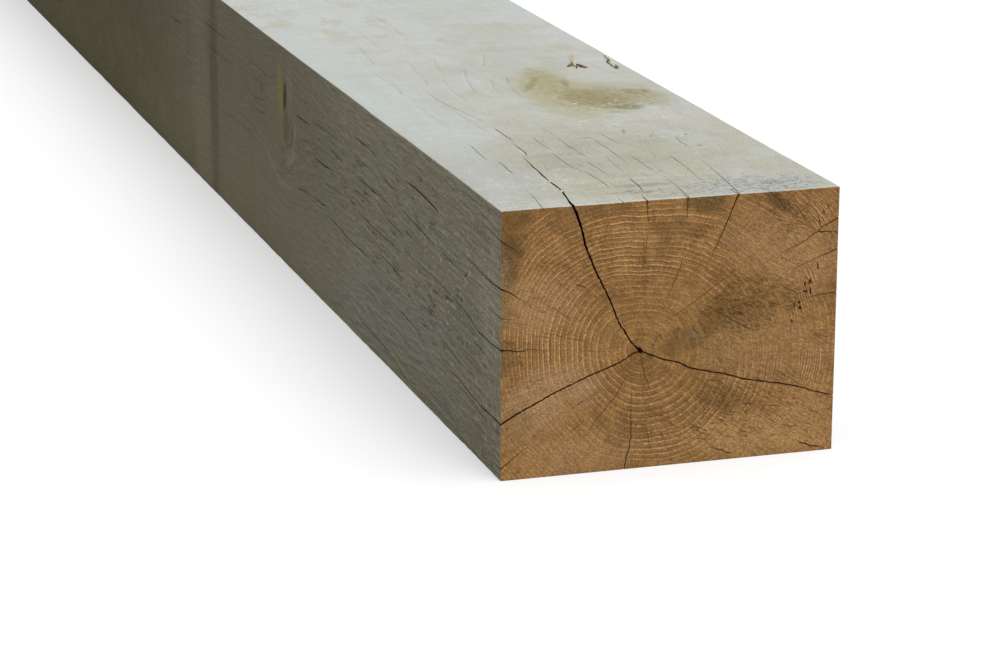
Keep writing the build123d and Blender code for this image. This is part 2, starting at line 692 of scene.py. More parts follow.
@dataclass(frozen=True)
class CrosscutEnd:
    """End grain from a coarse saw: pale ring lines, fine rays, and torn fibres drawn out by the teeth."""

    name: str
    wood: Heartwood
    baulk: Baulk
    stains: tuple[Stain, ...] = ()
    clear_rings: tuple[Zone, ...] = ()
    crisp_rings: tuple[Zone, ...] = ()
    torn_zones: tuple[Zone, ...] = ()
    latewood: Rgb = (0.168, 0.081, 0.020)
    middle: Rgb = (0.254, 0.132, 0.041)
    earlywood: Rgb = (0.415, 0.232, 0.098)
    pale_tone: Rgb = (0.47, 0.275, 0.13)
    pore_tone: Rgb = (0.070, 0.030, 0.008)
    red_tone: Rgb = (0.12, 0.036, 0.008)
    saw_tilt: float = 30.0
    cloud: Grain = Grain((0.03, 0.03), 3.1)
    mottle: Grain = Grain((0.13, 0.13), 6.3, rough=0.65)
    grit: Grain = Grain((1.05, 1.05), 7.7, 2.0, 0.7)
    score: Grain = Grain((0.055, 0.62), 1.7, rough=0.68)
    stroke: Grain = Grain((0.24, 1.15), 5.2, 2.0)
    tooth: Grain = Grain((0.55, 1.10), 2.4, rough=0.7)

    def ring_lines(self, graph: Graph, ring: Field, fine: Field) -> tuple[Field, Field, Field]:
        """Draws the rings from a count of them.

        Args:
            graph: The material's graph.
            ring: How many rings lie within the place.
            fine: Fine noise that breaks the lines up.

        Returns:
            The pale lines, a wave with two crests to a ring, and the rows of pores.
        """
        turn = ring * (2 * math.pi)
        line = (graph.maths("COSINE", turn) * 0.5 + 0.5) ** 6
        twin = graph.maths("COSINE", turn * 2 + (fine - 0.5) * 3)
        pores = (graph.maths("COSINE", turn + 1.9) * 0.5 + 0.5) ** 5
        return line + graph.smooth(0.4, 1.0, twin) * 0.22, twin, pores

    def saw_marks(self, graph: Graph, left: Field, top: Field) -> tuple[Field, Field, Field]:
        """Draws noise out along the saw's path, which runs down to the right.

        Args:
            graph: The material's graph.
            left: How far the place is from the left.
            top: How far it is from the top.

        Returns:
            Long scores, short torn strokes and the tooth of the cut.
        """
        tilt = math.radians(self.saw_tilt)
        a = left * math.cos(tilt) + top * math.sin(tilt)
        b = top * math.cos(tilt) - left * math.sin(tilt)
        return self.score.over(graph, a, b), self.stroke.over(graph, a, b), self.tooth.over(graph, a, b)

    def material(self) -> bpy.types.Material:
        """Builds the finish.

        Returns:
            The material.
        """
        graph = Graph(self.name)
        x, y, z = graph.place()
        left = x + self.baulk.width / 2
        top = self.baulk.depth - z
        along = y + self.baulk.length / 2
        right, above = self.wood.offsets(graph, left, along, z)
        count, radius = self.wood.rings(graph, right, above)
        cos, sin = right / radius, above / radius

        cloud = self.cloud.over(graph, left, top)
        mottle = self.mottle.over(graph, left, top)
        fine = self.grit.over(graph, left, top)
        fray = cloud * 0.55 + mottle * 0.45

        # Ring lines swell and sag between the rays, and no two are alike
        scallop = graph.noise(graph.vector(cos * 7, sin * 7, radius * 0.03), 2.0, 0.6)
        ring = count + (scallop - 0.5) * 0.30 + (mottle - 0.5) * 0.20 + (fine - 0.5) * 0.12
        each_ring = {"W": graph.maths("ROUND", ring)}
        own = graph.node("ShaderNodeTexWhiteNoise", {"noise_dimensions": "1D"}, each_ring)
        line, twin, pores = self.ring_lines(graph, ring, fine)
        clear = gathered(graph, self.clear_rings, left, top, fray) + 0.42
        ray = graph.noise(graph.vector(cos * 48, sin * 48, radius * 0.02), 2.0, 0.6)
        clear = clear * (own * 0.6 + 0.5) * graph.smooth(0.20, 0.58, mottle + (cloud - 0.5) * 0.5 + 0.08)
        clear = clear * (ray * 1.8 + fine * 1.0 - 0.4)

        sweep, dash, tooth = self.saw_marks(graph, left, top)
        rightward = graph.smooth(90, 200, left + top * 0.3)
        torn = gathered(graph, self.torn_zones, left, top, fray)
        scores = graph.smooth(0.54, 0.62, sweep) * (torn * 0.45 + rightward * 0.24 + 0.05)
        strokes = graph.smooth(0.52, 0.60, dash) * (torn * 0.85 + rightward * 0.16 + 0.20)

        colour = graph.mix(graph.smooth(0.32, 0.68, fray), self.latewood, self.middle)
        colour = graph.mix(line * clear * 0.95, colour, self.earlywood)
        colour = graph.mix(pores * clear * 0.40, colour, self.pore_tone)
        colour = stained(graph, colour, self.stains, (left, top), fray, graph.smooth(0.46, 0.54, tooth))
        colour = graph.mix(scores + strokes * 0.7, colour, self.pore_tone)
        # In a few places the ring lines come out clean, with open pores between them
        crisp = gathered(graph, self.crisp_rings, left, top, fray)
        colour = graph.mix(graph.smooth(0.1, 0.9, twin) * crisp * 0.55, colour, self.pale_tone)
        open_pores = graph.smooth(0.3, 0.9, -twin) * graph.smooth(0.4, 0.6, mottle)
        colour = graph.mix(open_pores * crisp * 0.8, colour, self.red_tone)
        light = (ray - 0.5) * 0.6 + (fine - 0.5) * 1.9 + (mottle - 0.5) * 0.5
        light = light + (tooth - 0.5) * (1.3 + torn * 0.6) + (sweep - 0.5) * rightward * 0.5
        colour = graph.shade(colour, light + 1.10)
        height = line * clear * 0.3 + tooth * 1.4 + fine * 0.9 - strokes * 0.8 - scores * 0.6
        return graph.finish(colour, 0.86, height, 0.38)


@dataclass(frozen=True)
class Spot:
    """The place being shaded on a long face, and what several of its marks are drawn from."""

    graph: Graph
    along: Field
    across: Field
    line: Field
    cloud: Field
    mottle: Field
    fray: Field
    fibre: Field
    speck: Field
    kerf: Field
    dash: Field
    # A shifted copy of the dash noise, which draws the painted highlights on the torn lips
    lip_highlight: Field
    near: Field
    blotch: Field
    dashing: Field
    coarse_relief_and_shade: Field


@dataclass(frozen=True)
class WeatheredFace:
    """A sawn long face that has stood outside: grey, streaked along the grain, with saw marks across it."""

    name: str
    face: Face
    wood: Heartwood
    baulk: Baulk
    near_tone: Rgb
    far_tone: Rgb
    cool_tone: Rgb
    warm_tone: Rgb
    streak_and_shade_tone: Rgb
    fleck_tone: Rgb
    fade: Place = (0.0, 700.0)
    wander: float = 6.0
    lean: float = 0.0
    lean_reach: float = 130.0
    streaks: float = 0.5
    figure: float = 0.3
    saw_marks: float = 0.5
    fuzz: float = 0.5
    # How rough the torn dashes are, both in bump relief and in their painted light and shade
    chatter_relief_and_shade: float = 0.3
    blotches: float = 0.5
    calm: float = 0.0
    low_light: float = 0.0
    knots: tuple[Knot, ...] = ()
    stains: tuple[Stain, ...] = ()
    dash_zones: tuple[Zone, ...] = ()
    fleck_zones: tuple[Zone, ...] = ()
    burrs: tuple[Zone, ...] = ()
    burr_tone: Rgb = (0.19, 0.15, 0.07)
    seed: float = 0.0
    cloud: Grain = Grain((0.016, 0.010), 9)
    mottle: Grain = Grain((0.075, 0.05), 11, 4.0, 0.68)
    tint: Grain = Grain((0.03, 0.02), 13)
    fibre: Grain = Grain((0.7, 0.014), 0)
    streak: Grain = Grain((0.17, 0.004), 4)
    dash: Grain = Grain((0.25, 0.036), 5, 4.0, 0.66)
    # How far the painted highlight on a torn lip lies beside its dash
    lip_highlight_shift: float = 1.6
    speck: Grain = Grain((0.8, 0.6), 2, 2.0, 0.7)
    chip: Grain = Grain((0.15, 0.11), 3, rough=0.72)
    tear: Grain = Grain((0.20, 0.34), 19, 4.0, 0.78)
    kerf: Grain = Grain((0.08, 0.80), 6, 2.0, 0.65)
    sweep: Grain = Grain((0.012, 0.085), 7, 2.0)
    contour: Grain = Grain((0.10, 0.0030), 8, rough=0.55)
    bend: Grain = Grain((0.02, 0.006), 17, 2.0, 0.55)
    curl: Grain = Grain((0.17, 0.46), 15, rough=0.7)

    def grain_line(self, graph: Graph, along: Field, across: Field) -> Field:
        """Numbers the lines of the grain, which leave the near end aslant and part round each knot.

        Args:
            graph: The material's graph.
            along: The place along the beam.
            across: The place across the face.

        Returns:
            The line that the place is on, in millimetres across the face.
        """
        slant = 1 - graph.maths("EXPONENT", along * (-1 / self.lean_reach))
        bend = self.bend.over(graph, across, along, self.seed)
        line = across + slant * self.lean + (bend - 0.5) * self.wander
        for knot in self.knots:
            line = line - knot.shift(along, across)
        return line

    def spot(self, graph: Graph, along: Field, across: Field) -> Spot:
        """Draws what the marks share.

        Args:
            graph: The material's graph.
            along: The place along the beam.
            across: The place across the face.

        Returns:
            The spot.
        """
        line = self.grain_line(graph, along, across)
        cloud, mottle, speck, kerf = (
            grain.over(graph, across, along, self.seed)
            for grain in (self.cloud, self.mottle, self.speck, self.kerf)
        )
        fray = cloud * 0.45 + mottle * 0.55
        # Further along, the blotches run together
        blotch = (1 - graph.smooth(560, 1000, along) * self.calm) * self.blotches
        dashing = gathered(graph, self.dash_zones, along, across, fray) + 0.12
        return Spot(
            graph, along, across, line, cloud, mottle, fray,
            fibre=self.fibre.over(graph, line, along, self.seed),
            speck=speck,
            kerf=kerf,
            dash=self.dash.over(graph, line, along, self.seed),
            lip_highlight=self.dash.over(graph, line + self.lip_highlight_shift, along, self.seed),
            near=1 - graph.smooth(60, 420, along),
            blotch=blotch,
            dashing=dashing * graph.smooth(0.40, 0.60, mottle),
            coarse_relief_and_shade=(1 - graph.smooth(260, 620, along) * 0.6) * self.chatter_relief_and_shade,
        )

    def weathering(self, spot: Spot) -> Field:
        """Mixes the tones of sound wood, near and far, cool and warm, and lays the stains over them.

        Args:
            spot: The place.

        Returns:
            The colour under the grain's own marks.
        """
        graph = spot.graph
        fade = graph.smooth(*self.fade, spot.along + (spot.cloud - 0.5) * 400)
        tone = graph.mix(fade, self.near_tone, self.far_tone)
        tint = self.tint.over(graph, spot.across, spot.along, self.seed)
        tone = graph.mix(graph.smooth(0.5, 0.66, tint) * spot.blotch, tone, self.cool_tone)
        tone = graph.mix(graph.smooth(0.5, 0.36, tint) * spot.blotch, tone, self.warm_tone)
        tooth = graph.smooth(0.49, 0.58, self.tear.over(graph, spot.across, spot.along, self.seed))
        return stained(graph, tone, self.stains, (spot.along, spot.across), spot.fray, tooth)

    def dark_marks(self, spot: Spot) -> Field:
        """Draws the streaks, the torn dashes, which are short checks drawn dark as painted shade, and the
        lines of the figure.

        Args:
            spot: The place.

        Returns:
            How dark the marks are there, as a share.
        """
        graph = spot.graph
        streak = self.streak.over(graph, spot.line, spot.along, self.seed)
        figure = self.contour.over(graph, spot.line, spot.along, self.seed)
        contour = 1 - graph.smooth(0.0, 0.016, graph.maths("ABSOLUTE", figure - 0.5))
        dark = graph.smooth(0.5, 0.75, streak) * 0.35 + graph.smooth(0.55, 0.72, spot.fibre) * 0.5
        # Painted shade: the torn dashes stand for short checks, drawn dark where their gaps would be shaded
        dark = dark * self.streaks + graph.smooth(0.53, 0.63, spot.dash) * spot.dashing
        return dark + contour * self.figure * graph.smooth(0.35, 0.6, spot.mottle)

    def bright_marks(self, spot: Spot) -> Field:
        """Draws the pale flecks, and the painted highlights on the lips of the torn dashes.

        Args:
            spot: The place.

        Returns:
            How bright the marks are there, as a share.
        """
        graph = spot.graph
        zones = gathered(graph, self.fleck_zones, spot.along, spot.across, spot.fray)
        chips = graph.smooth(0.57, 0.66, self.chip.over(graph, spot.across, spot.along, self.seed))
        flecks = (graph.smooth(0.60, 0.72, spot.speck) * 0.4 + chips) * (zones + spot.near * 0.08)
        # Painted highlight: the lip beside each torn dash is drawn pale, as if it caught the light
        return flecks + graph.smooth(0.56, 0.68, spot.lip_highlight) * spot.dashing * 0.5

    def lightness(self, spot: Spot) -> Field:
        """Finds how much lighter or darker the fibres, the light and the saw make the place.

        Args:
            spot: The place.

        Returns:
            A factor, about 1.
        """
        graph = spot.graph
        light = 1.0 + (spot.fibre - 0.5) * 0.4 * self.streaks + (spot.mottle - 0.5) * 0.45 * spot.blotch
        light = light + (spot.speck - 0.5) * (spot.near * 1.2 + 0.2) * self.fuzz
        # Painted light and shade: each torn dash less its shifted copy lights one side of the dash and shades
        # the other
        light = light + (spot.dash - spot.lip_highlight) * spot.coarse_relief_and_shade
        low = graph.smooth(40, 190, spot.across) * graph.smooth(0, 500, spot.along)
        raw = 1 - graph.smooth(18, 78, spot.along + (spot.cloud - 0.5) * 60)
        kerfs = (spot.kerf - 0.5) * (spot.near * 0.4 + raw * 1.6 + 0.1)
        sweep = self.sweep.over(graph, spot.across, spot.along, self.seed)
        return light + low * self.low_light + (kerfs + (sweep - 0.5) * 0.25) * self.saw_marks

    def material(self) -> bpy.types.Material:
        """Builds the finish.

        Returns:
            The material.
        """
        graph = Graph(self.name)
        x, y, z = graph.place()
        left = x + self.baulk.width / 2
        across = left if self.face.lies_flat else self.baulk.depth - z
        spot = self.spot(graph, y + self.baulk.length / 2, across)

        dark = self.dark_marks(spot)
        # The dark tone serves the streaks and figure lines, and the painted shade of the torn dashes
        tone = graph.mix(dark, self.weathering(spot), self.streak_and_shade_tone)
        burr = gathered(graph, self.burrs, spot.along, across, spot.fray)
        curl = self.curl.over(graph, across, spot.along, self.seed)
        tone = graph.mix(graph.smooth(0.51, 0.61, curl) * burr, tone, self.burr_tone)
        tone = graph.mix(self.bright_marks(spot), tone, self.fleck_tone)
        tone = graph.shade(tone, self.lightness(spot))

        height = spot.fibre * 0.8 + spot.kerf * 0.5 * self.saw_marks + spot.speck * 0.4 * self.fuzz
        height = height - dark * 0.3 - spot.dash * spot.coarse_relief_and_shade * 2
        return graph.finish(tone, 0.88, height, 0.4)


@dataclass(frozen=True)
class SplitWallPaintedShade:
    """The wood inside a split, darkened below its own colour with painted shade."""

    name: str
    tone: Rgb
    worn: Rgb

    def material(self) -> bpy.types.Material:
        """Builds the finish.

        Returns:
            The material.
        """
        graph = Graph(self.name)
        x, y, z = graph.place()
        grain = graph.noise(graph.vector(x * 0.5, y * 0.03, z * 0.5), 3.0, 0.6)
        # Both tones are the wood darkened with painted shade, as the inside of a split falls in shade
        colour = graph.mix(graph.smooth(0.4, 0.7, grain), self.tone, self.worn)
        return graph.finish(colour, 0.9, grain, 0.3)


@dataclass(frozen=True)
class Check:
    """A thin drying split that opens one face: the line of its mouth, its gap and its depth."""

    face: Face
    line: tuple[Place, ...]
    gap: float = 0.6
    depth: float = 6.0
    open_start: bool = False
    fullest_share: float = 0.5
    jag: float = 0.22
    rise: float = 1.2
    step: float = 2.6
    jag_waves: Place = (4.0, 9.0)
    jag_terms: int = 5
    tip_depth_share: float = 0.3
    least_half_gap: float = 0.02

    def fullness(self, share: np.ndarray) -> np.ndarray:
        """Args:
            share: Shares of the way along its line.

        Returns:
            A share at each, from 0 where it is closed to 1.
        """
        if self.open_start:
            return np.clip(1 - share, 0, 1) ** 0.7
        rising = share / self.fullest_share
        falling = (1 - share) / (1 - self.fullest_share)
        return smooth_share(np.minimum(rising, falling) * 2.0)

    def cutter(self, baulk: Baulk, wood: Heartwood, seed: int) -> MeshData:
        """Builds the wedge that is cut away.

        Args:
            baulk: The beam's sizes.
            wood: Where the pith is, which the check leans towards.
            seed: Which ragged line it takes.

        Returns:
            A closed mesh.
        """
        points, share = walked(self.line, self.step)
        ragged = Ripple(seed, *self.jag_waves, self.jag_terms).at(share * len(share) * self.step, 0.0)
        points = points + sideways(points) * (ragged * self.jag)[:, None]
        full = self.fullness(share)
        deep = self.depth * (self.tip_depth_share + (1 - self.tip_depth_share) * full)
        half = np.maximum(self.gap / 2 * full, self.least_half_gap) * (deep + self.rise) / deep
        square = sideways(points)
        tip = points + self.lean(points, deep, baulk, wood)
        one, other = points + square * half[:, None], points - square * half[:, None]
        up = np.full(len(points), self.rise)
        rings = np.stack(
            [
                baulk.place(self.face, one[:, 0], one[:, 1], up),
                baulk.place(self.face, other[:, 0], other[:, 1], up),
                baulk.place(self.face, tip[:, 0], tip[:, 1], -deep),
            ],
            axis=1,
        )
        return facing_out(tube_of_rings(rings))

    def lean(self, points: np.ndarray, deep: np.ndarray, baulk: Baulk, wood: Heartwood) -> np.ndarray:
        """Leans the check's root towards the pith.

        Args:
            points: The places along its mouth.
            deep: How deep the root is under each.
            baulk: The beam's sizes.
            wood: Where the pith is.

        Returns:
            How far the root lies from under the mouth at each place.
        """
        if self.face.is_end:
            return np.zeros_like(points)
        across, below = wood.near_pith
        if not self.face.lies_flat:
            across, below = below, across
        below = below if self.face in (Face.TOP, Face.LEFT) else baulk.width - below
        shift = (across - points[:, 1]) * np.clip(deep / below, 0, 1)
        return np.stack([np.zeros_like(shift), shift], -1)


@dataclass(frozen=True)
class HeartShake:
    """A split from the pith to a long face, which dies out along the beam."""

    end: Face
    line: tuple[Place, ...]
    mouth_drift: tuple[tuple[float, float, float], ...]
    mouth_gap: float
    heart_gap: float = 1.0
    closing: tuple[Place, ...] = ((0.0, 1.0), (0.13, 0.66), (0.6, 0.54), (0.9, 0.36), (1.0, 0.0))
    overrun: float = 3.0
    jag: float = 0.26
    sway: float = 0.3
    step: float = 1.5
    rings_inward: int = 34
    jag_waves: Place = (3.6, 18.0)
    sway_waves: Place = (30.0, 90.0)
    gap_waves: Place = (5.0, 24.0)
    gap_sway: float = 0.24
    root_below_mouth: float = 5.0
    least_half_gap: float = 0.03

    def spine(self) -> tuple[np.ndarray, np.ndarray, np.ndarray, float]:
        """Spaces points along the shake's line, with one more outside the mouth.

        Returns:
            The points, each one's share of the way, the direction out of the mouth, and the line's length.
        """
        line, share = walked(self.line, self.step)
        reach = np.linalg.norm(np.diff(line, axis=0), axis=1).sum()
        outward = line[-1] - line[-3]
        outward /= np.linalg.norm(outward)
        line = np.vstack([line, line[-1] + outward * self.overrun])
        return line, np.append(share, 1 + self.overrun / reach), outward, reach

    def half_gap(self, at: np.ndarray, share: np.ndarray, through: float, thick: np.ndarray) -> np.ndarray:
        """Finds half of the gap along one ring of the shake.

        Args:
            at: Each point's share of the way from the pith to the mouth.
            share: The same before the root climbed.
            through: The ring's share of the run.
            thick: How uneven the gap is there, about 1.

        Returns:
            Half of the gap at each point.
        """
        gap = self.heart_gap + (self.mouth_gap - self.heart_gap) * np.clip(at, 0, 1) ** 3
        closing = np.interp(through, *zip(*self.closing))
        rooted = smooth_share(np.clip(share, 0, 1) / 0.2 + np.clip(1 - through * 14, 0, 1))
        return np.maximum(gap / 2 * closing * rooted * thick, self.least_half_gap)

    def cutter(self, baulk: Baulk, seed: int) -> MeshData:
        """Builds the leaf-shaped gap that is cut away.

        Args:
            baulk: The beam's sizes.
            seed: Which ragged walls it takes.

        Returns:
            A closed mesh.
        """
        drift = np.array(self.mouth_drift, float)
        run = drift[-1, 0]
        line, share, outward, reach = self.spine()
        square = sideways(line)
        steps = np.concatenate([[-self.overrun], np.linspace(0, run, self.rings_inward)])
        ragged = Ripple(seed, *self.jag_waves)
        slow = Ripple(seed + 50, *self.sway_waves)
        uneven = Ripple(seed + 9, *self.gap_waves)
        rings = []
        for inward in steps:
            through = np.clip(inward / run, 0, 1)
            # The root of the shake climbs from the pith to just under its mouth
            root = smooth_share(through * 1.02) ** 0.8 * (1 - self.root_below_mouth / reach)
            at = root + (1 - root) * np.clip(share, 0, 1)
            centre = np.stack([np.interp(at, share, line[:, i]) for i in (0, 1)], -1)
            centre += outward * (np.maximum(share - 1, 0) * reach)[:, None]
            normal = np.stack([np.interp(at, share, square[:, i]) for i in (0, 1)], -1)
            wobble = ragged.at(at * reach, inward) * self.jag + slow.at(at * reach, inward) * self.sway
            centre += normal * wobble[:, None]
            centre += np.array([np.interp(inward, drift[:, 0], drift[:, i]) for i in (1, 2)])
            half = self.half_gap(at, share, through, 1 + self.gap_sway * uneven.at(at * reach, inward))
            one, other = centre + normal * half[:, None], centre - normal * half[:, None]
            around = np.concatenate([one, other[::-1]])
            rings.append(baulk.place(self.end, around[:, 0], around[:, 1], np.full(len(around), -inward)))
        return facing_out(tube_of_rings(np.array(rings)))


@dataclass(frozen=True)
class PithHole:
    """The small torn hole where the shakes meet."""

    end: Face
    centre: Place
    radius: float = 2.1
    depth: float = 22.0
    sides: int = 11
    uneven: Place = (0.65, 1.35)
    taper: tuple[Place, ...] = ((-1.5, 1.05), (2.0, 0.9), (8.0, 0.6))
    tip_share: float = 0.15

    def cutter(self, baulk: Baulk, seed: int) -> MeshData:
        """Builds the uneven cone that is cut away.

        Args:
            baulk: The beam's sizes.
            seed: Which uneven outline it takes.

        Returns:
            A closed mesh.
        """
        chance = np.random.default_rng(seed)
        angle = np.linspace(0, 2 * math.pi, self.sides, endpoint=False)
        uneven = chance.uniform(*self.uneven, len(angle))
        rings = []
        for inward, share in (*self.taper, (self.depth, self.tip_share)):
            radius = self.radius * share * uneven
            first = self.centre[0] + np.cos(angle) * radius
            second = self.centre[1] + np.sin(angle) * radius
            rings.append(baulk.place(self.end, first, second, np.full(len(angle), -inward)))
        return facing_out(tube_of_rings(np.array(rings)))


@dataclass(frozen=True)
class TornFibre:
    """A strand of wood that tore loose."""

    name: str
    tone: Rgb
    streak: Rgb

    def material(self) -> bpy.types.Material:
        """Builds the finish.

        Returns:
            The material.
        """
        graph = Graph(self.name)
        x, y, z = graph.place()
        grain = graph.noise(graph.vector(x * 0.9, y * 0.35, z * 0.9), 3.0, 0.65)
        colour = graph.mix(graph.smooth(0.38, 0.62, grain), self.streak, self.tone)
        return graph.finish(colour, 0.85, grain, 0.25)


@dataclass(frozen=True)
class Sliver:
    """A flattened strand on a long face: places as (along, across, height), with its width at each."""

    line: tuple[tuple[float, float, float, float], ...]
    thickness: float = 0.7
    pale: bool = False
    sides: int = 8
    first_turn: float = 0.3
    rings_between: int = 4

    def mesh(self, baulk: Baulk, face: Face) -> MeshData:
        """Builds the strand as a flattened tube.

        Args:
            baulk: The beam's sizes.
            face: The long face that it lies on.

        Returns:
            A closed mesh.
        """
        table = np.array(self.line, float)
        share = np.linspace(0, len(table) - 1, (len(table) - 1) * self.rings_between + 1)
        first, second, height, width = (np.interp(share, range(len(table)), table[:, i]) for i in range(4))
        square = sideways(np.stack([first, second], -1))
        rings = []
        for i in range(len(share)):
            angle = np.linspace(0, 2 * math.pi, self.sides, endpoint=False) + self.first_turn
            out = np.cos(angle) * width[i] / 2
            up = np.sin(angle) * min(self.thickness, width[i]) / 2
            along = first[i] + square[i, 0] * out
            across = second[i] + square[i, 1] * out
            rings.append(baulk.place(face, along, across, height[i] + up))
        return facing_out(tube_of_rings(np.array(rings)))


@dataclass
class TornFibres:
    """The slivers that stand out of the top face."""

    baulk: Baulk
    slivers: tuple[Sliver, ...]
    sharp_angle: float = 50.0
    brown: TornFibre = TornFibre("torn_fibre_brown", (0.19, 0.13, 0.058), (0.065, 0.043, 0.018))
    pale: TornFibre = TornFibre("torn_fibre_pale", (0.54, 0.49, 0.34), (0.38, 0.32, 0.18))

    def build(self) -> bpy.types.Object:
        """Builds all the strands.

        Returns:
            One object.
        """
        meshes = [sliver.mesh(self.baulk, Face.TOP) for sliver in self.slivers]
        made = mesh_object("torn_fibres", joined(meshes), [self.brown.material(), self.pale.material()])
        index = [int(sliver.pale) for sliver, mesh in zip(self.slivers, meshes) for _ in mesh[1]]
        made.data.polygons.foreach_set("material_index", index)
        made.data.set_sharp_from_angle(angle=math.radians(self.sharp_angle))
        return made


@dataclass(frozen=True)
class TextureMap:
    """Lays the beam's finish out on one square, so that a baked copy holds the near end at the largest scale.

    The four long faces lie side by side and are cut into three lengths, each in
    a quarter of the square. The near end has the last quarter, and the far end
    and the walls of the splits share the strip beside it.
    """

    baulk: Baulk
    name: str = "OFBake"
    quarter: float = 0.49
    second_quarter: float = 0.51
    length_stops: tuple[float, ...] = (0.0, 600.0, 1500.0, 2400.0)
    overlap: float = 14.0
    strip_from: float = 0.905
    far_end_wide: float = 0.12
    wall_cell: Place = (0.11, 0.09)
    wall_cells_from: float = 0.645
    wall_cell_pitch: float = 0.12
    wall_repeat: float = 240.0
    wall_margin: float = 20.0
    wall_girth: float = 420.0

    def long_faces(
        self,
        side: Face,
        left: np.ndarray,
        above: np.ndarray,
        along: np.ndarray,
        middle: np.ndarray,
    ) -> np.ndarray:
        """Places the corners of one long face.

        Args:
            side: The face.
            left: Each corner's distance from the left.
            above: Its height.
            along: Its distance from the near end.
            middle: That distance for the middle of the face that the corner belongs to.

        Returns:
            The corners' places on the square.
        """
        width, depth = self.baulk.width, self.baulk.depth
        round_it = {
            Face.TOP: left,
            Face.RIGHT: width + depth - above,
            Face.UNDER: width + depth + width - left,
            Face.LEFT: width + depth + width + above,
        }[side]
        across = np.clip(round_it / (2 * width + 2 * depth), 0, 1) * self.quarter
        part = np.clip(np.searchsorted(self.length_stops, middle) - 1, 0, len(self.length_stops) - 2)
        start = np.take(self.length_stops, part) - self.overlap
        reach = np.take(self.length_stops, part + 1) + self.overlap - start
        up = np.clip((along - start) / reach, 0, 1) * self.quarter
        across = across + (part == 1) * self.second_quarter
        up = up + (part == 2) * self.second_quarter
        return np.stack([across, up], -1)

    def ends(self, side: Face, left: np.ndarray, above: np.ndarray) -> np.ndarray:
        """Places the corners of one end.

        Args:
            side: The end.
            left: Each corner's distance from the left.
            above: Its height.

        Returns:
            The corners' places on the square.
        """
        share = np.clip(np.stack([left / self.baulk.width, above / self.baulk.depth], -1), 0, 1)
        if side is Face.NEAR:
            size = np.array([self.quarter, self.quarter * self.baulk.depth / self.baulk.width])
            return share * size + self.second_quarter
        size = np.array([self.far_end_wide, self.far_end_wide * self.baulk.depth / self.baulk.width])
        return share * size + np.array([self.second_quarter, self.strip_from])

    def split_walls(
        self,
        cell: int,
        left: np.ndarray,
        above: np.ndarray,
        along: np.ndarray,
        middle: np.ndarray,
    ) -> np.ndarray:
        """Places the corners of one kind of split wall, folded into one cell.

        Args:
            cell: The cell's number.
            left: Each corner's distance from the left.
            above: Its height.
            along: Its distance from the near end.
            middle: That distance for the middle of the face that the corner belongs to.

        Returns:
            The corners' places on the square.
        """
        first = along - np.floor(middle / self.wall_repeat) * self.wall_repeat + self.wall_margin
        reach = self.wall_repeat + 2 * self.wall_margin
        share = np.stack([first / reach, (left + above) / self.wall_girth], -1)
        corner = np.array([self.wall_cells_from + cell * self.wall_cell_pitch, self.strip_from])
        return np.clip(share, 0, 1) * np.array(self.wall_cell) + corner

    def lay(self, made: bpy.types.Object, finishes: Sequence[bpy.types.Material]) -> None:
        """Gives the beam its map.

        Args:
            made: The beam.
            finishes: The finish of each side, in the order of Face.
        """
        mesh = made.data
        corners = np.empty(len(mesh.loops), int)
        mesh.loops.foreach_get("vertex_index", corners)
        points = np.empty(len(mesh.vertices) * 3)
        mesh.vertices.foreach_get("co", points)
        points = points.reshape(-1, 3)[corners] / MM
        starts, counts, slots = (np.empty(len(mesh.polygons), int) for _ in range(3))
        mesh.polygons.foreach_get("loop_start", starts)
        mesh.polygons.foreach_get("loop_total", counts)
        mesh.polygons.foreach_get("material_index", slots)
        slots = np.repeat(slots, counts)
        left, above = points[:, 0] + self.baulk.width / 2, points[:, 2]
        along = points[:, 1] + self.baulk.length / 2
        middle = np.repeat(np.add.reduceat(along, starts) / counts, counts)
        places = np.zeros((len(corners), 2))
        walls = 0
        for slot, material in enumerate(mesh.materials):
            here = slots == slot
            if material in finishes:
                side = Face(list(finishes).index(material))
                if side.is_end:
                    places[here] = self.ends(side, left[here], above[here])
                else:
                    places[here] = self.long_faces(side, left[here], above[here], along[here], middle[here])
            else:
                places[here] = self.split_walls(walls, left[here], above[here], along[here], middle[here])
                walls += 1
        mesh.uv_layers.new(name=self.name).data.foreach_set("uv", places.ravel())


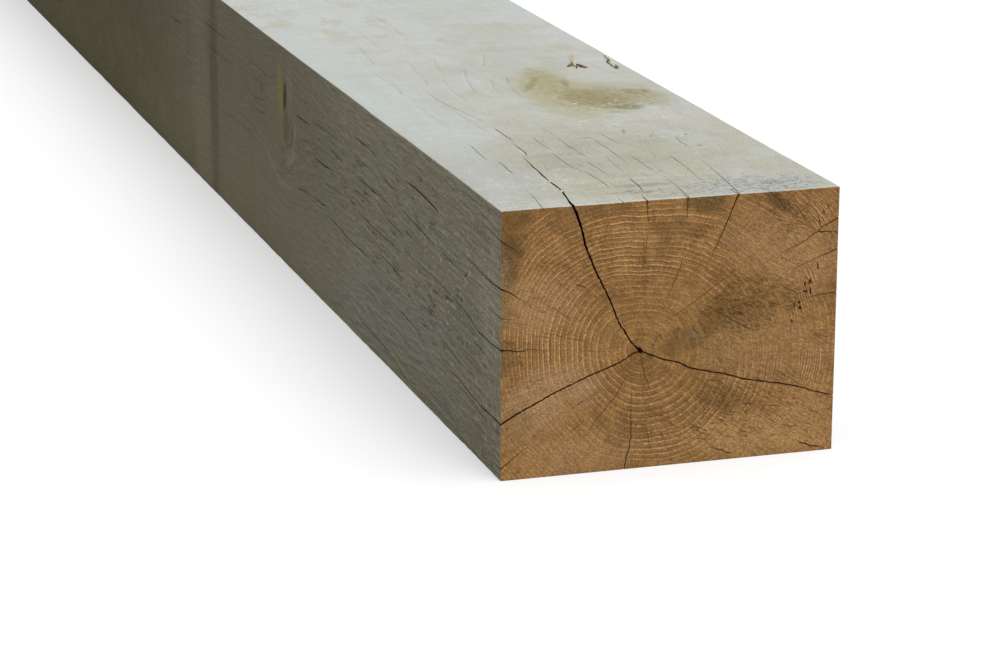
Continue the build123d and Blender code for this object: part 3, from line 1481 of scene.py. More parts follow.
@dataclass
class Timber:
    """The beam itself: a sawn, worn and split baulk as one closed mesh."""

    baulk: Baulk
    wood: Heartwood
    shakes: tuple[HeartShake, ...]
    pith_holes: tuple[PithHole, ...]
    end_checks: tuple[Check, ...]
    face_checks: tuple[Check, ...]
    top_grooves: tuple[Check, ...]
    left_grooves: tuple[Check, ...]
    finishes: Mapping[Face, bpy.types.Material]
    walls: Mapping[Wall, bpy.types.Material]
    near_zone: float = 320.0
    middle_zone: float = 900.0
    near_step: float = 4.0
    middle_step: float = 8.0
    far_step: float = 20.0
    section_step: float = 5.5
    last_zone: float = 60.0
    end_row: float = 1.2
    arris_rows: tuple[float, ...] = (0.0, 0.3, 0.9, 2.2)
    first_inner_row: float = 5.0
    arris_ease: float = 0.7
    arris_wear: float = 0.8
    arris_sway: float = 0.25
    right_wear: float = 0.3
    end_ease: float = 0.3
    unevenness: float = 0.14
    right_swell: float = 0.45
    sharp_angle: float = 32.0
    wane: float = 2.6
    wane_reach: float = 34.0
    wane_run: tuple[Place, ...] = (
        (0, 0), (120, 0), (330, 0.35), (620, 0.9), (1000, 1), (1500, 0.2), (2400, 0),
    )

    def lines_along(self) -> np.ndarray:
        """Spaces the mesh's rows along the beam, finer near the end in view.

        Returns:
            The place of each row along Y.
        """
        length = self.baulk.length
        stops = (0.0, self.near_zone, self.middle_zone, length - self.last_zone, length)
        steps = (self.near_step, self.middle_step, self.far_step, self.middle_step)
        parts = [
            np.linspace(low, high, round((high - low) / step), endpoint=False)
            for low, high, step in zip(stops, stops[1:], steps)
        ]
        fine = [self.end_ease, self.end_row, length - self.end_row, length - self.end_ease, length]
        return np.unique(np.round(np.concatenate([*parts, fine]), 4)) - length / 2

    def lines_across(self, size: float) -> np.ndarray:
        """Spaces the mesh's rows across a face, finer at its arrises.

        Args:
            size: The face's width.

        Returns:
            The distance of each row from the face's edge.
        """
        fine = np.array(self.arris_rows)
        inner = size - 2 * self.first_inner_row
        middle = self.first_inner_row + np.linspace(0, inner, round(inner / self.section_step) + 1)
        return np.concatenate([fine, middle, size - fine[::-1]])

    def skin(self) -> tuple[np.ndarray, list, list]:
        """Builds the sawn box as quads.

        Returns:
            The vertices in millimetres, the faces, and the side that each face is on.
        """
        lines = (
            self.lines_across(self.baulk.width) - self.baulk.width / 2,
            self.lines_along(),
            self.lines_across(self.baulk.depth),
        )
        counts = tuple(len(line) for line in lines)
        outer = np.ones(counts, bool)
        outer[1:-1, 1:-1, 1:-1] = False
        number = np.full(counts, -1)
        number[outer] = np.arange(outer.sum())
        points = np.stack(np.meshgrid(*lines, indexing="ij"), -1)[outer]
        sides = {
            (0, 0): Face.LEFT, (0, -1): Face.RIGHT,
            (1, 0): Face.NEAR, (1, -1): Face.FAR,
            (2, 0): Face.UNDER, (2, -1): Face.TOP,
        }
        quads, which = [], []
        for (axis, end), side in sides.items():
            layer = number.take(end, axis=axis)
            corners = [layer[:-1, :-1], layer[1:, :-1], layer[1:, 1:], layer[:-1, 1:]]
            if (end == 0) != (axis == 1):
                corners.reverse()
            made = np.stack(corners, -1).reshape(-1, 4).tolist()
            quads += made
            which += [side.value] * len(made)
        return points, quads, which

    def worn(self, points: np.ndarray) -> np.ndarray:
        """Eases the arrises by an uneven amount and makes the faces slightly uneven.

        Args:
            points: The sawn box's vertices, in millimetres.

        Returns:
            The same vertices, moved.
        """
        half = np.array([self.baulk.width, self.baulk.length, self.baulk.depth]) / 2
        centre = np.array([0.0, 0.0, self.baulk.depth / 2])
        out = self.eased(points - centre, half)
        along = out[:, 1]
        wide = Ripple(11, 130.0, 70.0).at(along, out[:, 2]) * self.unevenness
        deep = Ripple(12, 110.0, 60.0).at(along, out[:, 0]) * self.unevenness
        out[:, 0] += wide * out[:, 0] / half[0] + self.right_swell * (out[:, 0] / half[0] > 0.98)
        out[:, 2] += deep * np.clip(out[:, 2] / half[2], 0, 1)

        # The left arris of the top face falls away a little further along
        near = smooth_share(1 - (out[:, 0] + half[0]) / self.wane_reach)
        drop = np.interp(along + half[1], *zip(*self.wane_run)) * self.wane
        out[:, 2] -= near * drop * np.clip(out[:, 2] / half[2], 0, 1) ** 4
        return out + centre

    def eased(self, out: np.ndarray, half: np.ndarray) -> np.ndarray:
        """Rounds the arrises by an uneven amount.

        Args:
            out: The vertices, from the beam's centre.
            half: Half of the beam's width, length and depth.

        Returns:
            The same vertices, moved.
        """
        out = out.copy()
        side = np.sign(out)
        edge = side[:, 0] * 70 + side[:, 2] * 190
        chips = np.clip(Ripple(3, 16.0, 900.0).at(out[:, 1], edge), 0, 1) ** 2
        chips += 0.7 * np.clip(Ripple(5, 8.0, 500.0).at(out[:, 1], edge), 0, 1) ** 2
        slow = Ripple(4, 90.0, 500.0).at(out[:, 1], side[:, 0] * 50 + side[:, 2] * 120)
        # The right arrises are hardly worn
        wear = np.where(side[:, 0] > 0, self.right_wear, 1.0)
        long_ease = self.arris_ease + wear * (self.arris_wear * chips + self.arris_sway * slow)
        eases = {(0, 2): long_ease, (0, 1): self.end_ease, (1, 2): self.end_ease}
        for (i, j), ease in eases.items():
            over_i = np.maximum(np.abs(out[:, i]) - (half[i] - ease), 0)
            over_j = np.maximum(np.abs(out[:, j]) - (half[j] - ease), 0)
            far = np.hypot(over_i, over_j)
            share = np.where((over_i > 0) & (over_j > 0) & (far > ease), ease / np.maximum(far, 1e-9), 1.0)
            out[:, i] -= side[:, i] * over_i * (1 - share)
            out[:, j] -= side[:, j] * over_j * (1 - share)
        return out

    def carve(
        self,
        made: bpy.types.Object,
        name: str,
        wall: bpy.types.Material,
        cutters: Sequence[MeshData],
    ) -> None:
        """Cuts shapes that don't touch each other out of the beam.

        Args:
            made: The beam.
            name: What the shapes are.
            wall: What they leave the wood looking like.
            cutters: The shapes.
        """
        tool = mesh_object(name, joined(cutters), [wall])
        cut = made.modifiers.new(name, "BOOLEAN")
        cut.operation = "DIFFERENCE"
        cut.solver = "MANIFOLD"
        cut.material_mode = "TRANSFER"
        cut.object = tool
        depsgraph = bpy.context.evaluated_depsgraph_get()
        result = bpy.data.meshes.new_from_object(made.evaluated_get(depsgraph))
        made.modifiers.remove(cut)
        old, made.data = made.data, result
        bpy.data.meshes.remove(old)
        bpy.data.objects.remove(tool)
        log.info("%s: %d cut, %d faces", name, len(cutters), len(result.polygons))

    def build(self) -> bpy.types.Object:
        """Builds the beam and cuts its splits.

        Returns:
            The beam.
        """
        points, quads, which = self.skin()
        materials = [self.finishes[side] for side in Face]
        made = mesh_object("sawn_oak_timber", (self.worn(points) * MM, quads), materials)
        made.data.polygons.foreach_set("material_index", which)
        heart = self.walls[Wall.HEART]
        for index, shake in enumerate(self.shakes):
            self.carve(made, f"heart_shake_{index}", heart, [shake.cutter(self.baulk, 100 + index)])
        self.carve(made, "pith_holes", heart, [hole.cutter(self.baulk, 7) for hole in self.pith_holes])
        for name, wall, checks in (
            ("end_checks", self.walls[Wall.END], self.end_checks),
            ("face_checks", self.walls[Wall.FACE], self.face_checks),
            ("top_grooves", self.finishes[Face.TOP], self.top_grooves),
            ("left_grooves", self.finishes[Face.LEFT], self.left_grooves),
        ):
            cutters = [check.cutter(self.baulk, self.wood, 300 + i) for i, check in enumerate(checks)]
            self.carve(made, name, wall, cutters)
        made.data.set_sharp_from_angle(angle=math.radians(self.sharp_angle))
        TextureMap(self.baulk).lay(made, materials)
        return made


@dataclass(frozen=True)
class Lamp:
    """A broad lamp far off: its strength, its spread in degrees and the way that it shines."""

    name: str
    strength: float
    spread: float
    aim: tuple[float, float, float]

    def build(self) -> None:
        """Hangs the lamp."""
        data = bpy.data.lights.new(self.name, "SUN")
        data.energy = self.strength
        data.angle = math.radians(self.spread)
        made = bpy.data.objects.new(self.name, data)
        made.rotation_euler = Vector(self.aim).to_track_quat("-Z", "Y").to_euler()
        bpy.context.scene.collection.objects.link(made)


@dataclass(frozen=True)
class Studio:
    """The pale floor, the soft lamps and the camera."""

    focal_length: float = 118.22
    camera_place: tuple[float, float, float] = (-0.70482, -3.06834, 0.66121)
    camera_yaw: float = 0.30675
    camera_pitch: float = 0.28034
    camera_roll: float = 0.0031
    sensor_width: float = 36.0
    clip: Place = (0.05, 200.0)
    floor_size: float = 60.0
    floor_tone: Rgb = (0.42, 0.42, 0.42)
    floor_seen: Rgb = (0.86, 0.86, 0.86)
    shadow_softening: float = 0.4
    sky_tone: Rgb = (0.407, 0.414, 0.42)
    white: Rgb = (1.0, 1.0, 1.0)
    lamps: tuple[Lamp, ...] = (
        Lamp("overhead", 2.25, 50.0, (-0.18, 0.25, -1.0)),
        Lamp("front", 1.6, 40.0, (-0.1, 1.0, -0.35)),
    )

    def camera(self) -> None:
        """Puts the camera where the photograph was taken from."""
        data = bpy.data.cameras.new("camera")
        data.sensor_width = self.sensor_width
        data.lens = self.focal_length
        data.clip_start, data.clip_end = self.clip
        made = bpy.data.objects.new("camera", data)
        turn = Matrix.Rotation(-self.camera_yaw, 3, "Z")
        turn = turn @ Matrix.Rotation(math.pi / 2 - self.camera_pitch, 3, "X")
        turn = turn @ Matrix.Rotation(self.camera_roll, 3, "Z")
        made.matrix_world = Matrix.Translation(self.camera_place) @ turn.to_4x4()
        bpy.context.scene.collection.objects.link(made)
        bpy.context.scene.camera = made

    def floor(self) -> None:
        """Lays a floor that the camera sees as white and the beam as light grey."""
        graph = Graph("studio_floor")
        seen = graph.node("ShaderNodeLightPath", {}, {}, "Is Camera Ray")
        colour = graph.mix(seen, self.floor_tone, self.floor_seen)
        matt = graph.node("ShaderNodeBsdfDiffuse", {}, {"Color": colour})
        white = graph.node("ShaderNodeEmission", {}, {"Color": (*self.white, 1.0), "Strength": 1.0})
        # The photograph hardly shows a shadow, so the camera sees it less deep
        surface = graph.node("ShaderNodeMixShader", {}, {0: seen * self.shadow_softening, 1: matt, 2: white})
        graph.node_output(surface)
        reach = self.floor_size / 2
        corners = np.array([[-reach, -reach, 0], [reach, -reach, 0], [reach, reach, 0], [-reach, reach, 0]])
        made = mesh_object("studio_floor", (corners, [(0, 1, 2, 3)]), [graph.material])

    def sky(self) -> None:
        """Lights the beam from all round with a sky that the camera sees as white."""
        world = bpy.data.worlds.new("studio")
        graph = Graph("studio", world)
        seen = graph.node("ShaderNodeLightPath", {}, {}, "Is Camera Ray")
        colour = graph.mix(seen, self.sky_tone, self.white)
        sky = graph.node("ShaderNodeBackground", {}, {"Color": colour, "Strength": 1.0})
        graph.node_output(sky, "ShaderNodeOutputWorld")
        bpy.context.scene.world = world

    def build(self) -> None:
        """Sets up the whole studio."""
        bpy.context.scene.view_settings.view_transform = "Standard"
        self.floor()
        self.sky()
        for lamp in self.lamps:
            lamp.build()
        self.camera()


# Where the pith comes out at each end, as (from the left, from the top)
NEAR_PITH = (91.9, 97.1)
FAR_PITH = (118.0, 87.0)

NEAR_SHAKES = (
    HeartShake(
        Face.NEAR,
        (
            NEAR_PITH, (85.7, 90.7), (82.1, 84.3), (77.9, 77.9), (72.9, 65.7), (67.1, 53.6),
            (62.1, 42.9), (59.3, 35.7), (55.0, 25.7), (52.9, 17.1), (49.3, 5.7), (47.0, 0.0),
        ),
        ((0, 0, 0), (16.7, 2, 0), (35, 5, 0), (43, 5.6, 0), (72, 6.6, 0), (100, 8.6, 0), (138, 11.6, 0)),
        mouth_gap=1.9,
    ),
    HeartShake(
        Face.NEAR,
        (
            NEAR_PITH, (85.7, 99.6), (78.6, 103.6), (67.1, 107.9), (57.1, 111.4), (45.7, 115.7),
            (34.3, 120.0), (24.3, 125.0), (11.4, 131.4), (0.0, 138.0),
        ),
        ((0, 0, 0), (43, 0, 0), (77, 0, -3), (116, 0, -5)),
        mouth_gap=1.3,
        heart_gap=0.95,
    ),
    HeartShake(
        Face.NEAR,
        (
            NEAR_PITH, (100.0, 100.7), (108.6, 104.3), (118.6, 107.1), (125.7, 111.4), (137.1, 114.3),
            (151.4, 117.9), (164.3, 122.1), (177.1, 125.0), (191.4, 127.9), (200.0, 130.0), (211.4, 134.3),
            (225.0, 138.0),
        ),
        ((0, 0, 0), (60, 0, -2), (124, 0, -4)),
        mouth_gap=0.65,
        heart_gap=1.0,
        sway=0.12,
    ),
)

FAR_SHAKES = (
    HeartShake(
        Face.FAR,
        (FAR_PITH, (122, 74), (131, 52), (139, 33), (147, 14), (150, 0)),
        ((0, 0, 0), (50, -2, 0), (104, -6, 0)),
        mouth_gap=1.8,
    ),
    HeartShake(
        Face.FAR,
        (FAR_PITH, (99, 90), (71, 99), (44, 104), (18, 111), (0, 114)),
        ((0, 0, 0), (60, 0, 2), (128, 0, 5)),
        mouth_gap=1.2,
        heart_gap=0.9,
    ),
    HeartShake(
        Face.FAR,
        (FAR_PITH, (122, 101), (125, 122), (133, 143), (137, 162), (141, 175)),
        ((0, 0, 0), (92, 4, 0)),
        mouth_gap=1.1,
    ),
)


def hairline(end: Face, start_turn: float, stop_turn: float, start: float, stop: float) -> Check:
    """A fine radial split that hardly opens.

    Args:
        end: The end that it crosses.
        start_turn: The direction of its inner tip from the pith, in degrees from the right.
        stop_turn: The direction of its outer tip.
        start: How far from the pith it starts.
        stop: How far it reaches.

    Returns:
        The check.
    """
    pith = NEAR_PITH if end is Face.NEAR else FAR_PITH
    middle = ((start_turn + stop_turn) / 2, (start + stop) / 2)
    line = []
    for turn, reach in ((start_turn, start), middle, (stop_turn, stop)):
        angle = math.radians(turn)
        line.append((pith[0] + math.cos(angle) * reach, pith[1] - math.sin(angle) * reach))
    return Check(end, tuple(line), 0.26, 2.5, jag=0.3)


# Checks that cross the near end, as (from the left, from the top)
NEAR_END_CHECKS = (
    Check(Face.NEAR, ((95.3, -2), (95.6, 4), (96, 8.6), (96.4, 16)), 0.7, 14, True),
    Check(Face.NEAR, ((96.6, 18), (94.6, 32), (93.9, 46)), 0.3, 4),
    Check(Face.NEAR, ((122.4, -2), (122.5, 7), (122.4, 15)), 0.7, 14, True),
    Check(Face.NEAR, ((123.4, 17), (122.6, 26), (120.6, 35), (118.2, 44.5), (112.2, 59), (106, 74)), 0.34, 3),
    Check(Face.NEAR, ((157.2, -2), (150, 15.7), (141.4, 35), (134, 49)), 1.0, 16, True),
    Check(Face.NEAR, ((176, -2), (183, 5), (190, 12.1), (196.5, 18.5)), 0.5, 6, True, jag=0.6),
    Check(
        Face.NEAR,
        ((227, 19), (220, 22.5), (212.9, 26.4), (202.9, 33.6), (193, 38), (184, 43)),
        0.8, 12, True, jag=0.5,
    ),
    Check(Face.NEAR, ((211.8, 28.6), (218, 28.8), (227, 29.6)), 0.95, 5, True, jag=0.4),
    Check(Face.NEAR, ((194, 8), (200, 16), (204.5, 23)), 0.4, 1.6, jag=0.4),
    Check(
        Face.NEAR,
        ((227, 39.5), (220, 42.5), (214.3, 44.3), (200, 50), (190, 54)),
        0.75, 12, True, jag=0.5,
    ),
    Check(Face.NEAR, ((105, 83), (119.4, 73.4), (138.7, 60.8), (150.7, 53), (160, 47)), 0.36, 3, jag=0.4),
    Check(Face.NEAR, ((227, 69.2), (215, 70), (205.7, 71.4), (197, 74.5)), 0.65, 9, True, jag=0.4),
    Check(Face.NEAR, ((-2, 17.6), (5, 22.5), (13.5, 29.3)), 0.6, 12, True),
    Check(Face.NEAR, ((-2, 48.5), (5, 52), (12.4, 57), (19, 61.5)), 0.85, 12, True),
    Check(Face.NEAR, ((-2, 68), (2, 68.9), (9, 70.6)), 0.6, 8, True),
    Check(
        Face.NEAR,
        ((-2, 89.2), (6, 89.9), (14.3, 91.4), (17.9, 89.7), (25, 91), (33, 92.6)),
        0.95, 14, True, jag=0.35,
    ),
    Check(Face.NEAR, ((-2, 168.5), (5.5, 163), (12.9, 157.1), (20, 152.9)), 0.9, 12, True),
    Check(Face.NEAR, ((56.5, 138), (50.7, 143.8), (41.5, 149.6)), 0.34, 2.5, jag=0.4),
    Check(Face.NEAR, ((70, 118), (62, 123), (49.6, 130), (42.7, 134.6)), 0.26, 2, jag=0.4),
    Check(Face.NEAR, ((19, 78.4), (33.4, 81.3), (48.4, 86), (61, 89.4)), 0.3, 2.5, jag=0.4),
    Check(Face.NEAR, ((31, 62), (40.4, 69.2), (48.4, 75)), 0.3, 2.5, jag=0.4),
    Check(Face.NEAR, ((47.3, 49.6), (52, 51.5), (57.7, 54.2)), 0.5, 1.5, jag=0.4),
    Check(
        Face.NEAR,
        ((82, 177), (84.2, 165.7), (86.3, 158.8), (87, 149.6), (86.5, 137), (87.2, 120), (87, 113)),
        0.8, 9, True, jag=0.4,
    ),
    Check(
        Face.NEAR,
        ((92.3, 99.5), (94, 106.5), (95.7, 113.8), (98, 119.6), (101, 130)),
        0.42, 2, fullest_share=0.25, jag=0.5,
    ),
    Check(
        Face.NEAR,
        ((87, 105.8), (81.9, 115.6), (76, 126), (71.5, 130.6), (64.6, 139.2), (57.7, 148.4), (50.7, 156.5)),
        0.4, 3, jag=0.35,
    ),
    Check(Face.NEAR, ((199.5, 166), (206, 169.6), (212, 171.4), (220, 173.6)), 1.0, 1.6, jag=0.7),
    Check(Face.NEAR, ((142.8, 166.2), (149.4, 168.9), (157, 171.7)), 0.8, 1.4, jag=0.7),
    Check(Face.NEAR, ((136, 120.6), (141, 120.9), (148, 122.3)), 0.55, 1.2, jag=0.5),
    Check(Face.NEAR, ((161.7, 138.3), (166, 138.8), (172, 139.8)), 0.5, 1.2, jag=0.6),
    Check(Face.NEAR, ((180, 140.8), (184, 141.8), (189.4, 142.4)), 0.5, 1.2, jag=0.6),
    Check(Face.NEAR, ((125, 150.2), (129, 151), (134.5, 152.4)), 0.6, 1.2, jag=0.6),
    Check(Face.NEAR, ((130, 157.6), (134, 159.4), (139.5, 161.6)), 0.65, 1.2, jag=0.6),
    Check(Face.NEAR, ((160, 155.8), (163, 156.6), (166.5, 158.4)), 0.5, 1.2, jag=0.6),
    Check(Face.NEAR, ((189.4, 155), (195, 156), (201.7, 157.8)), 0.4, 1.2, jag=0.6),
    Check(Face.NEAR, ((208.3, 93.9), (215, 97), (222.8, 100.6)), 0.4, 1.2, jag=0.6),
    Check(Face.NEAR, ((206.8, 59), (206.6, 61), (206.2, 63)), 1.9, 1.5, jag=0.5),
    Check(Face.NEAR, ((203.6, 60.4), (203.4, 62), (203.2, 64)), 1.4, 1.3, jag=0.5),
    Check(Face.NEAR, ((202.2, 66), (203.4, 67), (205, 68.4)), 1.9, 1.5, jag=0.5),
    Check(Face.NEAR, ((207, 64.6), (207.3, 67), (207.4, 70)), 1.2, 1.2, jag=0.6),
    Check(Face.NEAR, ((200.2, 73), (200, 74.2), (199.8, 75.4)), 1.5, 1.3, jag=0.5),
    Check(Face.NEAR, ((199.0, 76.8), (200.4, 77.8), (202, 79)), 2.4, 1.6, jag=0.5),
    Check(Face.NEAR, ((196.8, 73.6), (196.7, 75.6), (196.5, 78)), 1.1, 1.1, jag=0.6),
    Check(Face.NEAR, ((211.2, 48.4), (211.9, 51), (212.6, 54)), 1.1, 1.1, jag=0.6),
    Check(Face.NEAR, ((194.6, 84.8), (194.9, 86), (195.4, 87.4)), 1.2, 1.1, jag=0.5),
    Check(Face.NEAR, ((210.4, 16.6), (212, 21), (213, 24.6)), 0.7, 0.9, jag=0.6),
    Check(Face.NEAR, ((214.4, 13.6), (215.6, 17.6)), 0.7, 0.8, jag=0.6),
    Check(Face.NEAR, ((216.8, 9), (218.6, 14.6)), 0.6, 0.8, jag=0.6),
    hairline(Face.NEAR, 276, 277.5, 50, 71),
    hairline(Face.NEAR, 285, 287.5, 54, 77),
    hairline(Face.NEAR, 250, 248, 52, 69),
    hairline(Face.NEAR, 139, 138.5, 88, 108),
    hairline(Face.NEAR, 89, 88.6, 55, 75),
    hairline(Face.NEAR, 47, 48, 88, 118),
)

FAR_END_CHECKS = (
    Check(Face.FAR, ((47, -2), (55, 9), (64, 20)), 0.8, 14, True),
    Check(Face.FAR, ((194, -2), (186, 7), (178, 17)), 0.8, 14, True),
    Check(Face.FAR, ((227, 52), (210, 57), (193, 62.5)), 0.8, 14, True),
    Check(Face.FAR, ((227, 129.5), (217, 126.5), (208, 123)), 0.7, 12, True),
    Check(Face.FAR, ((60.5, 177), (67, 166), (73.4, 156)), 0.8, 14, True),
    Check(Face.FAR, ((-2, 34.5), (9, 39), (21, 44.5)), 0.8, 14, True),
    hairline(Face.FAR, 22, 23, 30, 70),
    hairline(Face.FAR, 118, 117, 34, 62),
    hairline(Face.FAR, 141, 142, 44, 90),
    hairline(Face.FAR, 168, 167, 24, 60),
    hairline(Face.FAR, 238, 240, 20, 64),
    hairline(Face.FAR, 312, 311, 36, 78),
    hairline(Face.FAR, 338, 339, 50, 92),
)

# Checks along the grain of the top face, as (along, from the left)
TOP_CHECKS = (
    Check(Face.TOP, ((140.5, 62), (150, 63.7), (182, 64.3)), 0.8, 6, fullest_share=0.25),
    Check(Face.TOP, ((180, 67), (194, 66.3), (222, 66.3), (230, 67)), 0.7, 5),
    Check(Face.TOP, ((-2, 26), (25, 29.7), (54, 32.4)), 0.5, 2, True),
    Check(Face.TOP, ((90, 37), (106, 37.5), (117, 38.7), (134, 38)), 0.6, 2.2),
    Check(Face.TOP, ((133, 33.3), (150, 33), (167, 34.2), (186, 35)), 0.48, 1.8),
    Check(Face.TOP, ((-2, 79.3), (18, 80.9)), 0.5, 2, True),
    Check(Face.TOP, ((34, 84.2), (61, 85), (92, 83.3)), 0.55, 2),
    Check(Face.TOP, ((89, 81.2), (111, 79.2), (144, 80.3)), 0.40, 1.2),
    Check(Face.TOP, ((148, 82.6), (170, 82.2), (196, 82.6)), 0.40, 1.2),
    Check(Face.TOP, ((-2, 95), (18, 97.6)), 0.6, 5, True),
    Check(Face.TOP, ((21.5, 101.2), (42, 104.2), (63, 105.4)), 0.7, 5),
    Check(Face.TOP, ((65, 95.3), (103, 94.7), (121, 95)), 0.42, 1.4),
    Check(Face.TOP, ((119, 98.7), (156, 97.5), (192, 98.7)), 0.40, 1.2),
    Check(Face.TOP, ((100, 118.7), (150, 120.3), (178, 120)), 0.42, 1.4),
    Check(Face.TOP, ((-2, 123.4), (30.6, 127), (61, 128.7)), 0.6, 6, True),
    Check(Face.TOP, ((67, 128.3), (83, 127.2), (126, 128.3)), 0.42, 1.4),
    Check(Face.TOP, ((158, 132.8), (178, 131.3), (192, 130.8)), 0.42, 1.4),
    Check(Face.TOP, ((44, 148.3), (80.5, 151.7), (121, 153.3)), 0.48, 1.8),
    Check(Face.TOP, ((-2, 158), (28, 161.7), (55.6, 165), (92, 168.3), (110, 170)), 0.65, 6, True),
    Check(Face.TOP, ((128, 175), (147, 174), (168, 176)), 0.40, 1.2),
)

# Shallow grooves along the grain of the top face, soft grey lines that part round the knot
TOP_GROOVES = (
    Check(Face.TOP, ((75, 108), (103, 109.2), (128, 111.3)), 1.2, 0.4),
    Check(Face.TOP, ((108, 141.7), (130, 143.7), (144, 143.7)), 1.2, 0.4),
    Check(Face.TOP, ((86, 176), (117, 175)), 1.2, 0.4),
    Check(Face.TOP, ((164, 158), (176, 162), (189, 168)), 1.6, 0.5),
    Check(Face.TOP, ((206, 98.3), (242, 97)), 1.4, 0.4),
    Check(Face.TOP, ((211, 58.3), (242, 56.7), (280, 55.5)), 1.6, 0.45),
    Check(Face.TOP, ((240, 65), (264, 64), (300, 58), (328, 55), (357, 55.9)), 2.0, 0.6),
    Check(Face.TOP, ((367, 60.5), (400, 66.5), (425, 69), (460, 72)), 2.0, 0.5),
    Check(Face.TOP, ((236, 39), (276, 36), (316, 35.6)), 1.8, 0.45),
    Check(Face.TOP, ((346, 36.4), (384, 38.6), (430, 37.6)), 2.2, 0.6),
    Check(Face.TOP, ((315, 75), (350, 74), (400, 80)), 1.8, 0.4),
    Check(Face.TOP, ((407, 86), (440, 88), (470, 94)), 2.0, 0.45),
    Check(Face.TOP, ((338, 88.4), (370, 93), (404, 99.4), (430, 108)), 2.4, 0.75, fullest_share=0.4),
    Check(Face.TOP, ((318, 117), (350, 118), (370, 121), (390, 127.6)), 2.6, 0.75, fullest_share=0.7),
    Check(Face.TOP, ((330, 104.5), (356, 106), (384, 113)), 2.2, 0.5),
    Check(Face.TOP, ((425, 118), (450, 128), (480, 137)), 2.4, 0.5),
    Check(Face.TOP, ((460, 46.2), (494, 48.4), (530, 53)), 2.2, 0.6),
    Check(Face.TOP, ((520, 66), (570, 68), (640, 65)), 2.6, 0.5),
    Check(Face.TOP, ((540, 96), (600, 99), (668, 97)), 2.6, 0.5),
    Check(Face.TOP, ((700, 78), (780, 80), (850, 79)), 2.6, 0.5),
)

# Checks along the grain of the left face, as (along, from the top)
LEFT_CHECKS = (
    Check(Face.LEFT, ((-2, 18.2), (34, 16.2)), 0.6, 6, True),
    Check(Face.LEFT, ((-2, 49.4), (32, 49.8), (50, 48.2), (70, 47), (90, 46.6)), 0.9, 7, True),
    Check(Face.LEFT, ((-2, 68.4), (34, 67.8)), 0.55, 5, True),
    Check(
        Face.LEFT,
        ((-2, 89), (20, 90), (47, 90), (63, 86), (100, 82), (143, 80), (183, 79.4), (228, 80)),
        0.85, 8, True,
    ),
    Check(Face.LEFT, ((213, 84), (250, 82.4), (290, 82), (353, 81)), 0.6, 1.6),
    Check(Face.LEFT, ((126, 33), (160, 30), (190, 28.6), (222, 29)), 1.1, 6),
    Check(Face.LEFT, ((90, 60.2), (110, 58.6), (131, 57.2)), 0.6, 5),
    Check(Face.LEFT, ((137, 58.2), (160, 56), (187, 54), (228, 51.7)), 0.75, 6),
    Check(Face.LEFT, ((202, 65), (219, 64.7)), 0.7, 4),
    Check(Face.LEFT, ((82, 121.5), (103, 120.5), (123, 118.2)), 0.5, 4),
    Check(Face.LEFT, ((44, 116.6), (62, 115.6), (79, 114)), 0.4, 4),
    Check(Face.LEFT, ((238, 42), (256, 41.3), (272, 39.6)), 0.7, 4, jag=0.5),
    Check(Face.LEFT, ((164, 119.2), (171, 119.6), (178, 118.8)), 0.8, 3, jag=0.5),
    Check(Face.LEFT, ((69, 54.5), (71.5, 58.5), (78, 60.6)), 0.9, 3, jag=0.5),
    Check(Face.LEFT, ((38, 100), (50, 99.4), (61, 98)), 0.5, 3),
    Check(Face.LEFT, ((376, 53.6), (396, 52.6), (420, 50.4)), 0.7, 1.6),
    Check(Face.LEFT, ((426, 96.6), (440, 99.4), (470, 100)), 0.9, 2),
    Check(Face.LEFT, ((490, 100.5), (505, 103), (520, 105)), 0.6, 1),
    Check(Face.LEFT, ((285, 28.4), (320, 27.2), (358, 27)), 0.7, 2),
    Check(Face.LEFT, ((474, 46.2), (498, 46.4), (524, 47.6)), 0.8, 2.5),
    Check(Face.LEFT, ((215, 69.4), (268, 67)), 0.7, 5),
    Check(Face.LEFT, ((240, 56.4), (270, 56), (300, 55), (330, 55.6), (352, 55)), 0.6, 1.6),
    Check(Face.LEFT, ((216, 101), (252, 98.6), (291, 97)), 0.7, 5),
    Check(Face.LEFT, ((139, 107.4), (178, 106)), 0.6, 5),
    Check(Face.LEFT, ((300, 109.4), (326, 107.4), (353, 108), (400, 105.4), (434, 104)), 0.9, 3),
    Check(Face.LEFT, ((412, 66.6), (436, 68), (466, 68.4)), 1.0, 2.4),
    Check(Face.LEFT, ((198, 127), (231, 125)), 0.6, 5),
    Check(Face.LEFT, ((249, 165), (280, 162.4), (300, 162.4), (344, 159)), 0.7, 1.4),
    # The slit in the knot
    Check(Face.LEFT, ((551, 26), (553, 33), (555, 42), (557, 51)), 7.0, 8, fullest_share=0.78, jag=0.6),
)

